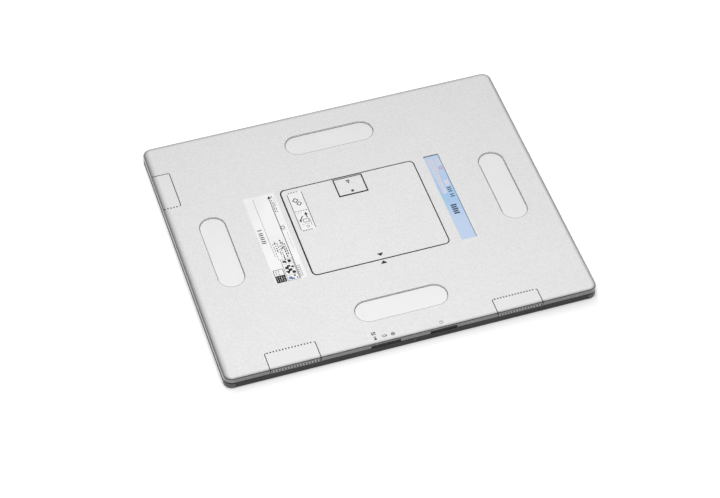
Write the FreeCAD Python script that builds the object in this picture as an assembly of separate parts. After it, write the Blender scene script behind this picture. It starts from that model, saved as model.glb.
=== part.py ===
import FreeCAD, Part
import math
import os

# A flat x-ray panel lying on its x-ray side, with the battery side up.
# +X runs along the long edge, +Y towards the far long edge, +Z up.
# The origin is the middle of the underside.

# The least length that counts as an edge
tolerance = 1e-4

# Overall size
panel_length = 460.0
panel_width = 384.0
corner_radius = 11.0
least_corner_radius = 1.0
cover_top = 15.9
label_thickness = 0.1

# Rear cover: a painted shell that ends at the seam
cover_thickness = 1.6
cover_wall = 1.6
rim_radius = 2.0
edge_break = 0.3
seam_gap = 0.8

# Front frame and its corner guards
frame_top = 8.8
rail_inset = 0.3
rail_wall = 2.7
shelf_width = 6.0
lip_height = 1.8
lip_thickness = 1.2
lip_clearance = 0.2
bottom_radius = 1.2
guard_run = 1.0
guard_thickness = 2.0
guard_clearance = 0.1
seal_inset = 0.5

# Layers under the rear electronics, from the x-ray side up
front_plate_thickness = 1.8
front_plate_clearance = 0.2
foam_thickness = 0.8
foam_margin = 1.0
scintillator_thickness = 0.6
scintillator_film_gap = 0.2
glass_thickness = 0.7
glass_inset = 14.0
shield_thickness = 0.3
shield_margin = 1.0
support_thickness = 2.2
support_clearance = 0.3

# Finger grips: stadium openings with a smooth pad behind each
grip_length = 114.0
grip_width = 32.0
grip_edge_distance = 50.4
grip_pad_thickness = 1.2
grip_pad_overlap = 4.0

# Radio windows, each let into the rim
window_corner_radius = 1.5
window_clearance = 0.15
window_flange = 3.0
window_flange_thickness = 0.8
left_window_length = 56.9
left_window_depth = 23.1
left_window_far_distance = 48.1
near_left_window_length = 61.5
near_left_window_depth = 25.6
near_left_window_distance = 54.1
near_right_window_length = 56.6
near_right_window_depth = 21.8
near_right_window_distance = 70.3
antenna_thickness = 0.4
antenna_margin = 5.0

# Battery pack and the bay that it drops into
pack_length = 171.1
pack_width = 141.6
pack_radius = 5.5
pack_gap = 1.2
pack_center_x = 0.5
pack_center_y = 1.6
bay_wall = 1.2
bay_floor = 1.0
bay_flange = 5.0
bay_flange_thickness = 1.0
pack_wall = 1.3
pack_floor = 1.0
pack_lid_thickness = 1.6
cell_end_gap = 3.25
cell_side_gap = 1.0
cell_top_gap = 0.5
battery_board_width = 6.5
battery_board_thickness = 1.0
tab_width = 8.0
tab_side_gap = 20.0
tab_reach = 4.0
tab_thickness = 0.15

# Battery latch, in a notch at the far edge of the pack
latch_notch_width = 37.8
latch_notch_depth = 31.2
latch_side_gap = 1.5
latch_stop_gap = 0.4
latch_far_gap = 3.4
latch_travel = 1.6
latch_recess = 0.1
knob_corner_radius = 0.8
dimple_radius = 2.0
dimple_depth = 0.6
dimple_near_gap = 4.2
latch_base_overlap = 2.0
latch_base_near_overlap = 0.8
latch_base_height = 2.1
latch_running_clearance = 0.05
latch_pocket_wall = 1.2
latch_pocket_side_room = 1.5
latch_spring_room = 5.4
latch_spring_thickness = 0.3
latch_spring_width = 17.0
latch_spring_height = 1.3
latch_spring_lift = 0.3
bolt_height = 1.4
bolt_reach = 0.7
catch_width = 18.0
catch_thickness = 0.4
catch_reach = 0.8
catch_drop = 6.0
catch_clearance = 0.1
catch_side_room = 1.0
catch_low_room = 0.3

# Battery contacts
contact_count = 4
contact_pitch = 9.0
contact_pad_length = 5.0
contact_pad_width = 3.0
contact_pad_clearance = 0.05
contact_side_gap = 41.0
contact_pin_radius = 0.7
connector_height = 0.8
connector_margin = 3.0
connector_clearance = 0.2

# Near edge: status window on the left, power button on the right
slot_top_gap = 0.1
status_slot_center = -35.45
status_slot_length = 36.3
button_slot_center = 35.7
button_slot_length = 33.2
bar_clearance = 0.3
bar_flange = 1.5
bar_flange_thickness = 0.8
bar_flange_gap = 0.1
status_recess = 0.4
button_recess = 0.6
button_travel = 0.8
stem_radius = 1.0
stem_clearance = 0.05
sleeve_stem_gap = 0.25
sleeve_length = 3.9
lip_relief = 3.0
switch_length = 14.0
switch_depth = 5.6
switch_top_gap = 0.5
plunger_radius = 0.8
plunger_length = 0.4
light_guide_depth = 3.5
light_guide_top_gap = 0.4
led_length = 3.0
led_depth = 1.5
led_height = 3.0
led_offsets = (-10.85, 0.45, 11.05)

# Circuit boards and their supports
board_standoff = 0.8
board_thickness = 1.2
boss_radius = 2.5
boss_corner_offset = 5.0
gate_board_screws = 3
readout_board_screws = 4
chip_height = 1.4
main_chip_side = 16.0
main_chip_end_gap = 24.0
main_chip_side_gap = 34.0
power_chip_side = 12.0
power_chip_end_gap = 20.0
power_chip_side_gap = 44.0
readout_chip_side = 7.0
readout_chip_end_gap = 30.0
main_board_edge_gap = 22.0
post_board_gap = 9.0
main_board_near_margin = 3.6
main_board_far_reach = 6.4
power_board_gate_gap = 6.0
power_board_far_gap = 13.6
gate_board_width = 20.0
gate_board_end_gap = 32.0
readout_board_width = 24.0
readout_board_end_gap = 40.0
film_board_gap = 0.4
indicator_board_depth = 18.0
indicator_board_margin = 6.5
wireless_length = 40.0
wireless_width = 22.0
wireless_can_height = 2.0
wireless_can_margin = 2.0
wireless_cable_gap = 3.8
wireless_left_shift = 12.0

# Flexible films that fold round the edge of the glass
film_thickness = 0.15
film_standoff = 1.0
film_bond_length = 1.8
film_board_overlap = 7.0
film_width = 32.0
film_slot_clearance = 1.0
gate_film_count = 6
readout_film_count = 9
film_end_gap = 46.0

# Flat cables between the boards
flex_thickness = 0.2
flex_width = 12.0
flex_overlap = 8.0
flex_gap = 2.0
indicator_flex_reach = 8.0

# Screws and posts
small_screw_radius = 1.0
small_head_radius = 1.8
small_head_height = 1.2
flat_head_radius = 2.0
flat_head_height = 0.8
screw_hole_clearance = 0.05
pin_hole_clearance = 0.05
post_radius = 3.5
post_label_offset = 55.0
post_screw_depth = 5.0
frame_screw_end_gap = 40.0
long_side_screws = 5
short_side_screws = 4
bay_screw_offset = 9.0

# Labels on the battery side
white_label_length = 142.6
white_label_width = 39.4
white_label_bay_gap = 6.9
white_label_center_y = 2.0
blue_label_length = 144.7
blue_label_width = 19.3
blue_label_bay_gap = 14.05
blue_label_center_y = 2.15
blue_label_recess = 0.6
blue_label_clearance = 0.1
battery_label_length = 65.3
battery_label_width = 19.7
battery_label_left_gap = 5.65
battery_label_far_gap = 5.7
label_corner_radius = 1.0

# Antenna leads
lead_radius = 0.6
lead_plate_gap = 0.1
lead_bend = 5.0
lead_rise_bend = 2.5
lead_pitch = 5.0
left_lead_edge_gap = 8.5

# Levels and edges worked out from the sizes above
half_length = panel_length / 2
half_width = panel_width / 2
cover_underside = cover_top - cover_thickness
seam_top = frame_top + seam_gap
lip_top = frame_top + lip_height
lip_outer_inset = cover_wall + lip_clearance
frame_wall_inset = rail_inset + rail_wall
shelf_inner_inset = frame_wall_inset + shelf_width
frame_screw_inset = frame_wall_inset + shelf_width / 2
foam_top = front_plate_thickness + foam_thickness
foam_inset = glass_inset + foam_margin
shield_inset = glass_inset + shield_margin
scintillator_inset = glass_inset + film_bond_length + scintillator_film_gap
scintillator_top = foam_top + scintillator_thickness
glass_top = scintillator_top + glass_thickness
support_bottom = glass_top + shield_thickness
support_top = support_bottom + support_thickness
board_bottom = support_top + board_standoff
board_top = board_bottom + board_thickness
pad_bottom = cover_underside - grip_pad_thickness

bay_length = pack_length + 2 * pack_gap
bay_width = pack_width + 2 * pack_gap
bay_radius = pack_radius + pack_gap
bay_left = pack_center_x - bay_length / 2
bay_right = pack_center_x + bay_length / 2
bay_near = pack_center_y - bay_width / 2
bay_far = pack_center_y + bay_width / 2
pack_bottom = support_top + bay_floor
pack_left = bay_left + pack_gap
pack_right = bay_right - pack_gap
pack_near = bay_near + pack_gap
pack_far = bay_far - pack_gap
lid_bottom = cover_top - pack_lid_thickness
pack_inside_bottom = pack_bottom + pack_floor

notch_near = pack_far - latch_notch_depth
latch_near = notch_near + latch_travel + latch_stop_gap
latch_far = bay_far - latch_far_gap
latch_base_near = latch_near - latch_base_near_overlap
knob_width = latch_notch_width - 2 * latch_side_gap
latch_base_bottom = lid_bottom - latch_running_clearance - latch_base_height
latch_pocket_bottom = latch_base_bottom - latch_running_clearance
latch_base_width = latch_notch_width + 2 * latch_base_overlap
pocket_width = latch_base_width + 2 * latch_pocket_side_room
pocket_near = latch_base_near - latch_spring_room
bolt_top = latch_base_bottom + bolt_height

cells_near = pack_near + pack_wall + cell_side_gap
battery_board_far = pocket_near - latch_pocket_wall - cell_side_gap
battery_board_near = battery_board_far - battery_board_width
cells_far = battery_board_near - cell_side_gap
cell_top = lid_bottom - cell_top_gap
contact_center_x = pack_right - contact_side_gap
contact_center_y = battery_board_near + battery_board_width / 2
connector_length = (contact_count - 1) * contact_pitch + 2 * connector_margin
connector_left = contact_center_x - connector_length / 2
connector_right = contact_center_x + connector_length / 2

slot_bottom = seam_top
slot_top = cover_underside - slot_top_gap
bar_bottom = slot_bottom + bar_clearance
bar_top = slot_top - bar_clearance
bar_flange_outer = cover_wall + bar_flange_gap
bar_flange_inner = bar_flange_outer + bar_flange_thickness
bar_middle = (bar_bottom + bar_top) / 2
sleeve_outer_radius = (bar_top - bar_bottom) / 2
sleeve_inner_radius = stem_radius + sleeve_stem_gap
switch_front = bar_flange_inner + sleeve_length
plunger_front = switch_front - plunger_length
stem_end = plunger_front - button_travel - stem_clearance
guide_inner = bar_flange_inner + light_guide_depth

film_inner_inset = glass_inset - film_standoff
film_outer_inset = film_inner_inset - film_thickness
board_edge_inset = film_inner_inset + film_board_gap
gate_board_inner_inset = board_edge_inset + gate_board_width
readout_board_inner_inset = board_edge_inset + readout_board_width
cross_cable_y = bay_near - bay_wall - bay_flange - flex_gap - flex_width / 2

white_label_center_x = bay_left - white_label_bay_gap - white_label_width / 2
blue_label_center_x = bay_right + blue_label_bay_gap + blue_label_width / 2
blue_label_floor = cover_top - blue_label_recess


# Basic solids

def block(x_low, x_high, y_low, y_high, z_low, z_high):
    corner = FreeCAD.Vector(x_low, y_low, z_low)
    return Part.makeBox(x_high - x_low, y_high - y_low, z_high - z_low, corner)


def upright_cylinder(x, y, z_low, z_high, radius):
    base = FreeCAD.Vector(x, y, z_low)
    return Part.makeCylinder(radius, z_high - z_low, base)


def inward_cylinder(x, inset_outer, inset_inner, z, radius):
    # Lies along +Y, measured inwards from the near edge
    base = FreeCAD.Vector(x, -half_width + inset_outer, z)
    return Part.makeCylinder(radius, inset_inner - inset_outer, base, FreeCAD.Vector(0, 1, 0))


def circle_point(x, y, z, radius, degrees):
    angle = math.radians(degrees)
    return FreeCAD.Vector(x + radius * math.cos(angle), y + radius * math.sin(angle), z)


def rounded_plate(length, width, radius, z_low, z_high, center_x=0.0, center_y=0.0):
    corner_signs = ((1, -1, -90), (1, 1, 0), (-1, 1, 90), (-1, -1, 180))
    arcs = []
    for sign_x, sign_y, start in corner_signs:
        x = center_x + sign_x * (length / 2 - radius)
        y = center_y + sign_y * (width / 2 - radius)
        points = [circle_point(x, y, z_low, radius, start + turn) for turn in (0, 45, 90)]
        arcs.append(points)
    edges = []
    for index, points in enumerate(arcs):
        edges.append(Part.Arc(points[0], points[1], points[2]).toShape())
        following = arcs[(index + 1) % len(arcs)][0]
        if points[2].distanceToPoint(following) > tolerance:
            edges.append(Part.LineSegment(points[2], following).toShape())
    face = Part.Face(Part.Wire(edges))
    return face.extrude(FreeCAD.Vector(0, 0, z_high - z_low))


def panel_plate(inset, z_low, z_high):
    # The panel's outline drawn in by an inset
    radius = max(corner_radius - inset, least_corner_radius)
    return rounded_plate(panel_length - 2 * inset, panel_width - 2 * inset, radius, z_low, z_high)


def panel_ring(inset_outer, inset_inner, z_low, z_high):
    return panel_plate(inset_outer, z_low, z_high).cut(panel_plate(inset_inner, z_low, z_high))


def prism_along_y(profile, y_low, y_high):
    # The profile is a list of X and Z pairs
    points = [FreeCAD.Vector(x, y_low, z) for x, z in profile]
    face = Part.Face(Part.makePolygon(points + [points[0]]))
    return face.extrude(FreeCAD.Vector(0, y_high - y_low, 0))


def prism_along_x(profile, x_low, x_high):
    # The profile is a list of Y and Z pairs
    points = [FreeCAD.Vector(x_low, y, z) for y, z in profile]
    face = Part.Face(Part.makePolygon(points + [points[0]]))
    return face.extrude(FreeCAD.Vector(x_high - x_low, 0, 0))


def spread(low, high, count):
    # Evenly spaced values from low to high, or the middle when there is only one
    if count == 1:
        return [(low + high) / 2]
    step = (high - low) / (count - 1)
    return [low + step * index for index in range(count)]


def edges_at_level(shape, level, keep=lambda box: True):
    # The edges that lie in one level, and whose box the test keeps
    chosen = []
    for edge in shape.Edges:
        box = edge.BoundBox
        if abs(box.ZMin - level) < tolerance and abs(box.ZMax - level) < tolerance and keep(box):
            chosen.append(edge)
    return chosen


def fillet_outline(shape, level, radius):
    return shape.makeFillet(radius, edges_at_level(shape, level))


def pan_screw(x, y, seat, length):
    head = upright_cylinder(x, y, seat, seat + small_head_height, small_head_radius)
    socket = upright_cylinder(x, y, seat + small_head_height / 2, seat + small_head_height,
                              small_head_radius / 2)
    shank = upright_cylinder(x, y, seat - length, seat, small_screw_radius)
    return head.cut(socket).fuse(shank)


def flat_screw(x, y, surface, length):
    low = FreeCAD.Vector(x, y, surface - flat_head_height)
    head = Part.makeCone(small_screw_radius, flat_head_radius, flat_head_height, low)
    socket = upright_cylinder(x, y, surface - flat_head_height / 2, surface, flat_head_radius / 2)
    shank = upright_cylinder(x, y, surface - length, surface - flat_head_height, small_screw_radius)
    return head.fuse(shank).cut(socket)


def flat_screw_hole(x, y, surface, length):
    # The countersink and clearance hole round one flat screw
    clearance = screw_hole_clearance
    low = FreeCAD.Vector(x, y, surface - flat_head_height - clearance)
    sink = Part.makeCone(small_screw_radius + clearance, flat_head_radius + clearance,
                         flat_head_height + clearance, low)
    hole = upright_cylinder(x, y, surface - length - clearance, surface,
                            small_screw_radius + clearance)
    return sink.fuse(hole)


# Outer shell

def grip_places():
    # Centre x, centre y, and the sides along X and Y of each grip opening
    reach_x = half_length - grip_edge_distance
    reach_y = half_width - grip_edge_distance
    return {
        "left": (-reach_x, 0.0, grip_width, grip_length),
        "right": (reach_x, 0.0, grip_width, grip_length),
        "near": (0.0, -reach_y, grip_length, grip_width),
        "far": (0.0, reach_y, grip_length, grip_width),
    }


def stadium(place, grow, z_low, z_high):
    x, y, side_x, side_y = place
    radius = (grip_width + grow) / 2
    return rounded_plate(side_x + grow, side_y + grow, radius, z_low, z_high, x, y)


def window_places():
    # The lowest and highest x and y of each radio window's opening
    left_far = half_width - left_window_far_distance
    near_left = -half_length + near_left_window_distance
    near_right = half_length - near_right_window_distance
    return {
        "left": (-half_length, -half_length + left_window_depth,
                 left_far - left_window_length, left_far),
        "near_left": (near_left, near_left + near_left_window_length,
                      -half_width, -half_width + near_left_window_depth),
        "near_right": (near_right - near_right_window_length, near_right,
                       -half_width, -half_width + near_right_window_depth),
    }


def window_block(place, inset, z_low, z_high):
    # Runs past the panel's edge, so that only the inner corners are rounded
    x_low, x_high, y_low, y_high = place
    past = 2 * corner_radius
    if x_low == -half_length:
        x_low = x_low - past + inset
    if y_low == -half_width:
        y_low = y_low - past + inset
    length = x_high - x_low - 2 * inset
    width = y_high - y_low - 2 * inset
    center_x = (x_low + x_high) / 2
    center_y = (y_low + y_high) / 2
    radius = window_corner_radius
    return rounded_plate(length, width, radius, z_low, z_high, center_x, center_y)


def cover_shell():
    outside = fillet_outline(panel_plate(0.0, seam_top, cover_top), cover_top, rim_radius)
    return outside.cut(panel_plate(cover_wall, seam_top, cover_underside))


def cut_opening(plate, opening):
    # Cuts an opening through the cover and breaks its upper edge
    plate = plate.cut(opening)
    reach = opening.BoundBox
    reach.enlarge(edge_break / 2)
    return plate.makeChamfer(edge_break, edges_at_level(plate, cover_top, reach.isInside))


def slot_block(center, length, grow, z_low, z_high, inset_outer, inset_inner):
    return block(center - length / 2 - grow, center + length / 2 + grow,
                 -half_width + inset_outer, -half_width + inset_inner, z_low, z_high)


def cover_screw_places():
    places = []
    for x, y, surface in (
        (white_label_center_x, white_label_center_y, cover_top),
        (blue_label_center_x, blue_label_center_y, blue_label_floor),
    ):
        for side in (-1, 1):
            places.append((x, y + side * post_label_offset, surface))
    return places


def rear_cover():
    cover = cut_opening(cover_shell(), rounded_plate(bay_length, bay_width, bay_radius,
                                                     cover_underside, cover_top,
                                                     pack_center_x, pack_center_y))
    for place in grip_places().values():
        cover = cut_opening(cover, stadium(place, 0.0, cover_underside, cover_top))
    for place in window_places().values():
        cover = cover.cut(window_block(place, 0.0, seam_top, cover_top))
    for center, length in ((status_slot_center, status_slot_length),
                           (button_slot_center, button_slot_length)):
        cover = cover.cut(slot_block(center, length, 0.0, slot_bottom, slot_top, 0.0, cover_wall))
    cover = cover.cut(rounded_plate(blue_label_width + 2 * blue_label_clearance,
                                    blue_label_length + 2 * blue_label_clearance,
                                    label_corner_radius, blue_label_floor, cover_top,
                                    blue_label_center_x, blue_label_center_y))
    for x, y, surface in cover_screw_places():
        cover = cover.cut(flat_screw_hole(x, y, surface, cover_thickness))
    return cover


def grip_pad(place):
    return stadium(place, 2 * grip_pad_overlap, pad_bottom, cover_underside)


def radio_window(place):
    skin = cover_shell().common(window_block(place, window_clearance, seam_top, cover_top))
    flange_bottom = cover_underside - window_flange_thickness
    flange = window_block(place, -window_flange, flange_bottom, cover_underside)
    flange = flange.common(panel_plate(cover_wall + window_clearance, flange_bottom,
                                       cover_underside))
    return skin.fuse(flange).removeSplitter()


def antenna(place):
    top = cover_underside - window_flange_thickness
    plate = window_block(place, antenna_margin / 2, top - antenna_thickness, top)
    return plate.common(panel_plate(antenna_margin, top - antenna_thickness, top))


def antennas():
    return [antenna(place) for place in window_places().values()]


def corner_boxes(grow, z_low, z_high):
    reach_x = half_length - corner_radius - guard_run - grow
    reach_y = half_width - corner_radius - guard_run - grow
    boxes = {}
    for name, sign_x, sign_y in (("near_left", -1, -1), ("near_right", 1, -1),
                                 ("far_left", -1, 1), ("far_right", 1, 1)):
        x_ends = sorted((sign_x * reach_x, sign_x * half_length))
        y_ends = sorted((sign_y * reach_y, sign_y * half_width))
        boxes[name] = block(x_ends[0], x_ends[1], y_ends[0], y_ends[1], z_low, z_high)
    return boxes


def corner_guards():
    ring = fillet_outline(panel_plate(0.0, 0.0, frame_top), 0.0, bottom_radius)
    ring = ring.cut(panel_plate(guard_thickness, 0.0, frame_top))
    boxes = corner_boxes(0.0, 0.0, frame_top)
    return {name: ring.common(box) for name, box in boxes.items()}


def frame_screw_places():
    reach_x = half_length - frame_screw_inset
    reach_y = half_width - frame_screw_inset
    along_x = spread(-half_length + frame_screw_end_gap, half_length - frame_screw_end_gap,
                     long_side_screws)
    along_y = spread(-half_width + frame_screw_end_gap, half_width - frame_screw_end_gap,
                     short_side_screws)
    places = [(x, side * reach_y) for side in (-1, 1) for x in along_x]
    places += [(side * reach_x, y) for side in (-1, 1) for y in along_y]
    return places


def front_frame():
    frame = fillet_outline(panel_plate(rail_inset, 0.0, frame_top), 0.0, bottom_radius)
    frame = frame.cut(panel_plate(frame_wall_inset, 0.0, front_plate_thickness))
    frame = frame.cut(panel_plate(shelf_inner_inset, front_plate_thickness, support_bottom))
    frame = frame.cut(panel_plate(frame_wall_inset, support_bottom, frame_top))
    lip = panel_ring(lip_outer_inset, lip_outer_inset + lip_thickness, frame_top, lip_top)
    for center, length in ((status_slot_center, status_slot_length),
                           (button_slot_center, button_slot_length)):
        lip = lip.cut(slot_block(center, length, lip_relief, frame_top, lip_top,
                                 0.0, lip_outer_inset + lip_thickness))
    frame = frame.fuse(lip)
    guard_space = panel_ring(0.0, guard_thickness + guard_clearance, 0.0, frame_top)
    for box in corner_boxes(guard_clearance, 0.0, frame_top).values():
        frame = frame.cut(guard_space.common(box))
    for x, y in frame_screw_places():
        frame = frame.cut(upright_cylinder(x, y, front_plate_thickness, support_bottom,
                                           small_screw_radius + screw_hole_clearance))
    return frame.removeSplitter()


def seal_gasket():
    return panel_ring(seal_inset, cover_wall, frame_top, seam_top)


# Layers that make the image

def front_plate():
    return panel_plate(frame_wall_inset + front_plate_clearance, 0.0, front_plate_thickness)


def shock_foam():
    return panel_plate(foam_inset, front_plate_thickness, foam_top)


def scintillator():
    return panel_plate(scintillator_inset, foam_top, scintillator_top)


def sensor_glass():
    return panel_plate(glass_inset, scintillator_top, glass_top)


def shield_sheet():
    return panel_plate(shield_inset, glass_top, support_bottom)


# Circuit boards

screwed_boards = ("main", "power", "gate", "readout", "indicator")


def board_places():
    # The lowest and highest x and y of each board
    gate_outer = half_length - board_edge_inset
    gate_inner = half_length - gate_board_inner_inset
    readout_outer = half_width - board_edge_inset
    readout_inner = half_width - readout_board_inner_inset
    wireless_x = bay_left - wireless_left_shift
    wireless_far = cross_cable_y - flex_width / 2 - wireless_cable_gap
    wireless_near = wireless_far - wireless_width
    power_near = (cross_cable_y - flex_width / 2 - flex_gap - small_head_radius
                  - boss_corner_offset)
    return {
        "main": (-half_length + main_board_edge_gap,
                 white_label_center_x - post_radius - post_board_gap,
                 wireless_near - main_board_near_margin, bay_far + main_board_far_reach),
        "power": (blue_label_center_x + post_radius + post_board_gap,
                  gate_inner - power_board_gate_gap,
                  power_near, bay_far - power_board_far_gap),
        "gate": (gate_inner, gate_outer,
                 -half_width + gate_board_end_gap, half_width - gate_board_end_gap),
        "readout": (-half_length + readout_board_end_gap, half_length - readout_board_end_gap,
                    readout_inner, readout_outer),
        "indicator": (status_slot_center - status_slot_length / 2 - indicator_board_margin,
                      button_slot_center + button_slot_length / 2 + indicator_board_margin,
                      -half_width + guide_inner,
                      -half_width + guide_inner + indicator_board_depth),
        "wireless": (wireless_x, wireless_x + wireless_length, wireless_near, wireless_far),
    }


def board_screw_places(name):
    # A screw near each corner, or one row beside the films on a board that they reach
    x_low, x_high, y_low, y_high = board_places()[name]
    offset = boss_corner_offset
    if name == "gate":
        return [(x_low + offset, y) for y in spread(y_low + offset, y_high - offset,
                                                    gate_board_screws)]
    if name == "readout":
        return [(x, y_low + offset) for x in spread(x_low + offset, x_high - offset,
                                                    readout_board_screws)]
    return [(x, y) for x in (x_low + offset, x_high - offset)
            for y in (y_low + offset, y_high - offset)]


def circuit_board(name):
    x_low, x_high, y_low, y_high = board_places()[name]
    board = block(x_low, x_high, y_low, y_high, board_bottom, board_top)
    for x, y in board_screw_places(name):
        board = board.cut(upright_cylinder(x, y, board_bottom, board_top,
                                           small_screw_radius + screw_hole_clearance))
    return board


def chips_on(name, columns, rows, side, margin_x, margin_y):
    # A grid of square packages on one board
    x_low, x_high, y_low, y_high = board_places()[name]
    centers_x = spread(x_low + margin_x, x_high - margin_x, columns)
    centers_y = spread(y_low + margin_y, y_high - margin_y, rows)
    half = side / 2
    return [block(x - half, x + half, y - half, y + half, board_top, board_top + chip_height)
            for x in centers_x for y in centers_y]


def board_chips():
    chips = chips_on("main", 2, 4, main_chip_side, main_chip_end_gap, main_chip_side_gap)
    chips += chips_on("power", 2, 3, power_chip_side, power_chip_end_gap, power_chip_side_gap)
    chips += chips_on("readout", 8, 1, readout_chip_side, readout_chip_end_gap, 0.0)
    return chips


def wireless_module():
    x_low, x_high, y_low, y_high = board_places()["wireless"]
    board = block(x_low, x_high, y_low, y_high, board_bottom, board_top)
    margin = wireless_can_margin
    can = block(x_low + flex_overlap, x_high - margin, y_low + margin, y_high - margin,
                board_top, board_top + wireless_can_height)
    return board.fuse(can)


def film_centers(half_side, count):
    return spread(-half_side + film_end_gap, half_side - film_end_gap, count)


def film_profile(half_side):
    # Bonded under the glass, up past its edge and over onto the board
    inner_bond = half_side - glass_inset - film_bond_length
    riser_inner = half_side - film_inner_inset
    riser_outer = half_side - film_outer_inset
    board_end = half_side - film_inner_inset - film_board_overlap
    low = scintillator_top - film_thickness
    return [(inner_bond, low), (riser_outer, low), (riser_outer, board_top + film_thickness),
            (board_end, board_top + film_thickness), (board_end, board_top),
            (riser_inner, board_top), (riser_inner, scintillator_top),
            (inner_bond, scintillator_top)]


def gate_films():
    profile = film_profile(half_length)
    return [prism_along_y(profile, y - film_width / 2, y + film_width / 2)
            for y in film_centers(half_width, gate_film_count)]


def readout_films():
    profile = film_profile(half_width)
    return [prism_along_x(profile, x - film_width / 2, x + film_width / 2)
            for x in film_centers(half_length, readout_film_count)]


def support_plate():
    plate = panel_plate(frame_wall_inset + support_clearance, support_bottom, support_top)
    slot_outer = film_outer_inset - film_slot_clearance
    slot_inner = film_inner_inset + film_slot_clearance
    half_slot = film_width / 2 + film_slot_clearance
    for y in film_centers(half_width, gate_film_count):
        plate = plate.cut(block(half_length - slot_inner, half_length - slot_outer,
                                y - half_slot, y + half_slot, support_bottom, support_top))
    for x in film_centers(half_length, readout_film_count):
        plate = plate.cut(block(x - half_slot, x + half_slot,
                                half_width - slot_inner, half_width - slot_outer,
                                support_bottom, support_top))
    for name in screwed_boards:
        for x, y in board_screw_places(name):
            plate = plate.fuse(upright_cylinder(x, y, support_top, board_bottom, boss_radius))
    x_low, x_high, y_low, y_high = board_places()["wireless"]
    margin = wireless_can_margin
    plate = plate.fuse(block(x_low + margin, x_high - margin, y_low + margin, y_high - margin,
                             support_top, board_bottom))
    hole_radius = small_screw_radius + screw_hole_clearance
    for name in screwed_boards:
        for x, y in board_screw_places(name):
            plate = plate.cut(upright_cylinder(x, y, support_bottom, board_bottom, hole_radius))
    for x, y in bay_screw_places():
        plate = plate.cut(upright_cylinder(x, y, support_bottom, support_top, hole_radius))
    for x, y in frame_screw_places():
        plate = plate.cut(flat_screw_hole(x, y, support_top, support_thickness))
    return plate.removeSplitter()


# Battery bay in the case

def bay_screw_places():
    offset = bay_screw_offset
    return [(x, y) for x in (bay_left + offset, bay_right - offset)
            for y in (bay_near + offset, bay_far - offset)]


def connector_block(grow, z_low, z_high):
    return block(connector_left - grow, connector_right + grow,
                 contact_center_y - battery_board_width / 2 - grow,
                 contact_center_y + battery_board_width / 2 + grow, z_low, z_high)


def battery_bay():
    outer_length = bay_length + 2 * bay_wall
    outer_width = bay_width + 2 * bay_wall
    outer_radius = bay_radius + bay_wall
    center = (pack_center_x, pack_center_y)
    tray = rounded_plate(outer_length, outer_width, outer_radius, support_top, cover_underside,
                         *center)
    flange = rounded_plate(outer_length + 2 * bay_flange, outer_width + 2 * bay_flange,
                           outer_radius + bay_flange, cover_underside - bay_flange_thickness,
                           cover_underside, *center)
    tray = tray.fuse(flange)
    tray = tray.cut(rounded_plate(bay_length, bay_width, bay_radius, pack_bottom, cover_underside,
                                  *center))
    half_catch = catch_width / 2 + catch_side_room
    catch_slot = block(pack_center_x - half_catch, pack_center_x + half_catch,
                       bay_far - catch_reach, bay_far + bay_wall + bay_flange,
                       bolt_top - catch_low_room, cover_underside)
    tray = tray.cut(catch_slot)
    tray = tray.cut(connector_block(connector_clearance, support_top, pack_bottom))
    cable_half = battery_board_width / 2 + connector_clearance
    cable_way = block(connector_right, bay_right + bay_wall, contact_center_y - cable_half,
                      contact_center_y + cable_half, support_top,
                      support_top + 2 * flex_thickness)
    tray = tray.cut(cable_way)
    for x, y in bay_screw_places():
        tray = tray.cut(flat_screw_hole(x, y, pack_bottom, bay_floor))
    return tray.removeSplitter()


def bay_connector():
    body = connector_block(0.0, support_top, support_top + connector_height)
    for x in contact_xs():
        body = body.cut(upright_cylinder(x, contact_center_y, support_top,
                                         support_top + connector_height,
                                         contact_pin_radius + pin_hole_clearance))
    return body


def contact_xs():
    half_row = (contact_count - 1) * contact_pitch / 2
    return spread(contact_center_x - half_row, contact_center_x + half_row, contact_count)


def contact_pins():
    return [upright_cylinder(x, contact_center_y, support_top, pack_bottom, contact_pin_radius)
            for x in contact_xs()]


def battery_flex():
    # From the bay's connector, under the tray wall and up onto the power board
    board_left = board_places()["power"][0]
    riser = board_left - flex_overlap
    low = support_top
    top = board_top + flex_thickness
    profile = [(connector_right, low), (riser + flex_thickness, low),
               (riser + flex_thickness, board_top), (board_left + flex_overlap, board_top),
               (board_left + flex_overlap, top), (riser, top), (riser, low + flex_thickness),
               (connector_right, low + flex_thickness)]
    half = battery_board_width / 2
    return prism_along_y(profile, contact_center_y - half, contact_center_y + half)


def catch_spring():
    # A strip on the bay's far wall, with a nose that reaches in over the bolt
    nose_bottom = bolt_top + catch_clearance
    nose_top = nose_bottom + catch_thickness
    wall_face = bay_far + bay_wall
    outer_face = wall_face + catch_thickness
    profile = [(wall_face, nose_top - catch_drop), (outer_face, nose_top - catch_drop),
               (outer_face, nose_top), (bay_far - catch_reach, nose_top),
               (bay_far - catch_reach, nose_bottom), (wall_face, nose_bottom)]
    return prism_along_x(profile, pack_center_x - catch_width / 2,
                         pack_center_x + catch_width / 2)


# Battery pack

def notch_block(z_low, z_high):
    half = latch_notch_width / 2
    return block(pack_center_x - half, pack_center_x + half, notch_near, pack_far,
                 z_low, z_high)


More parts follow.
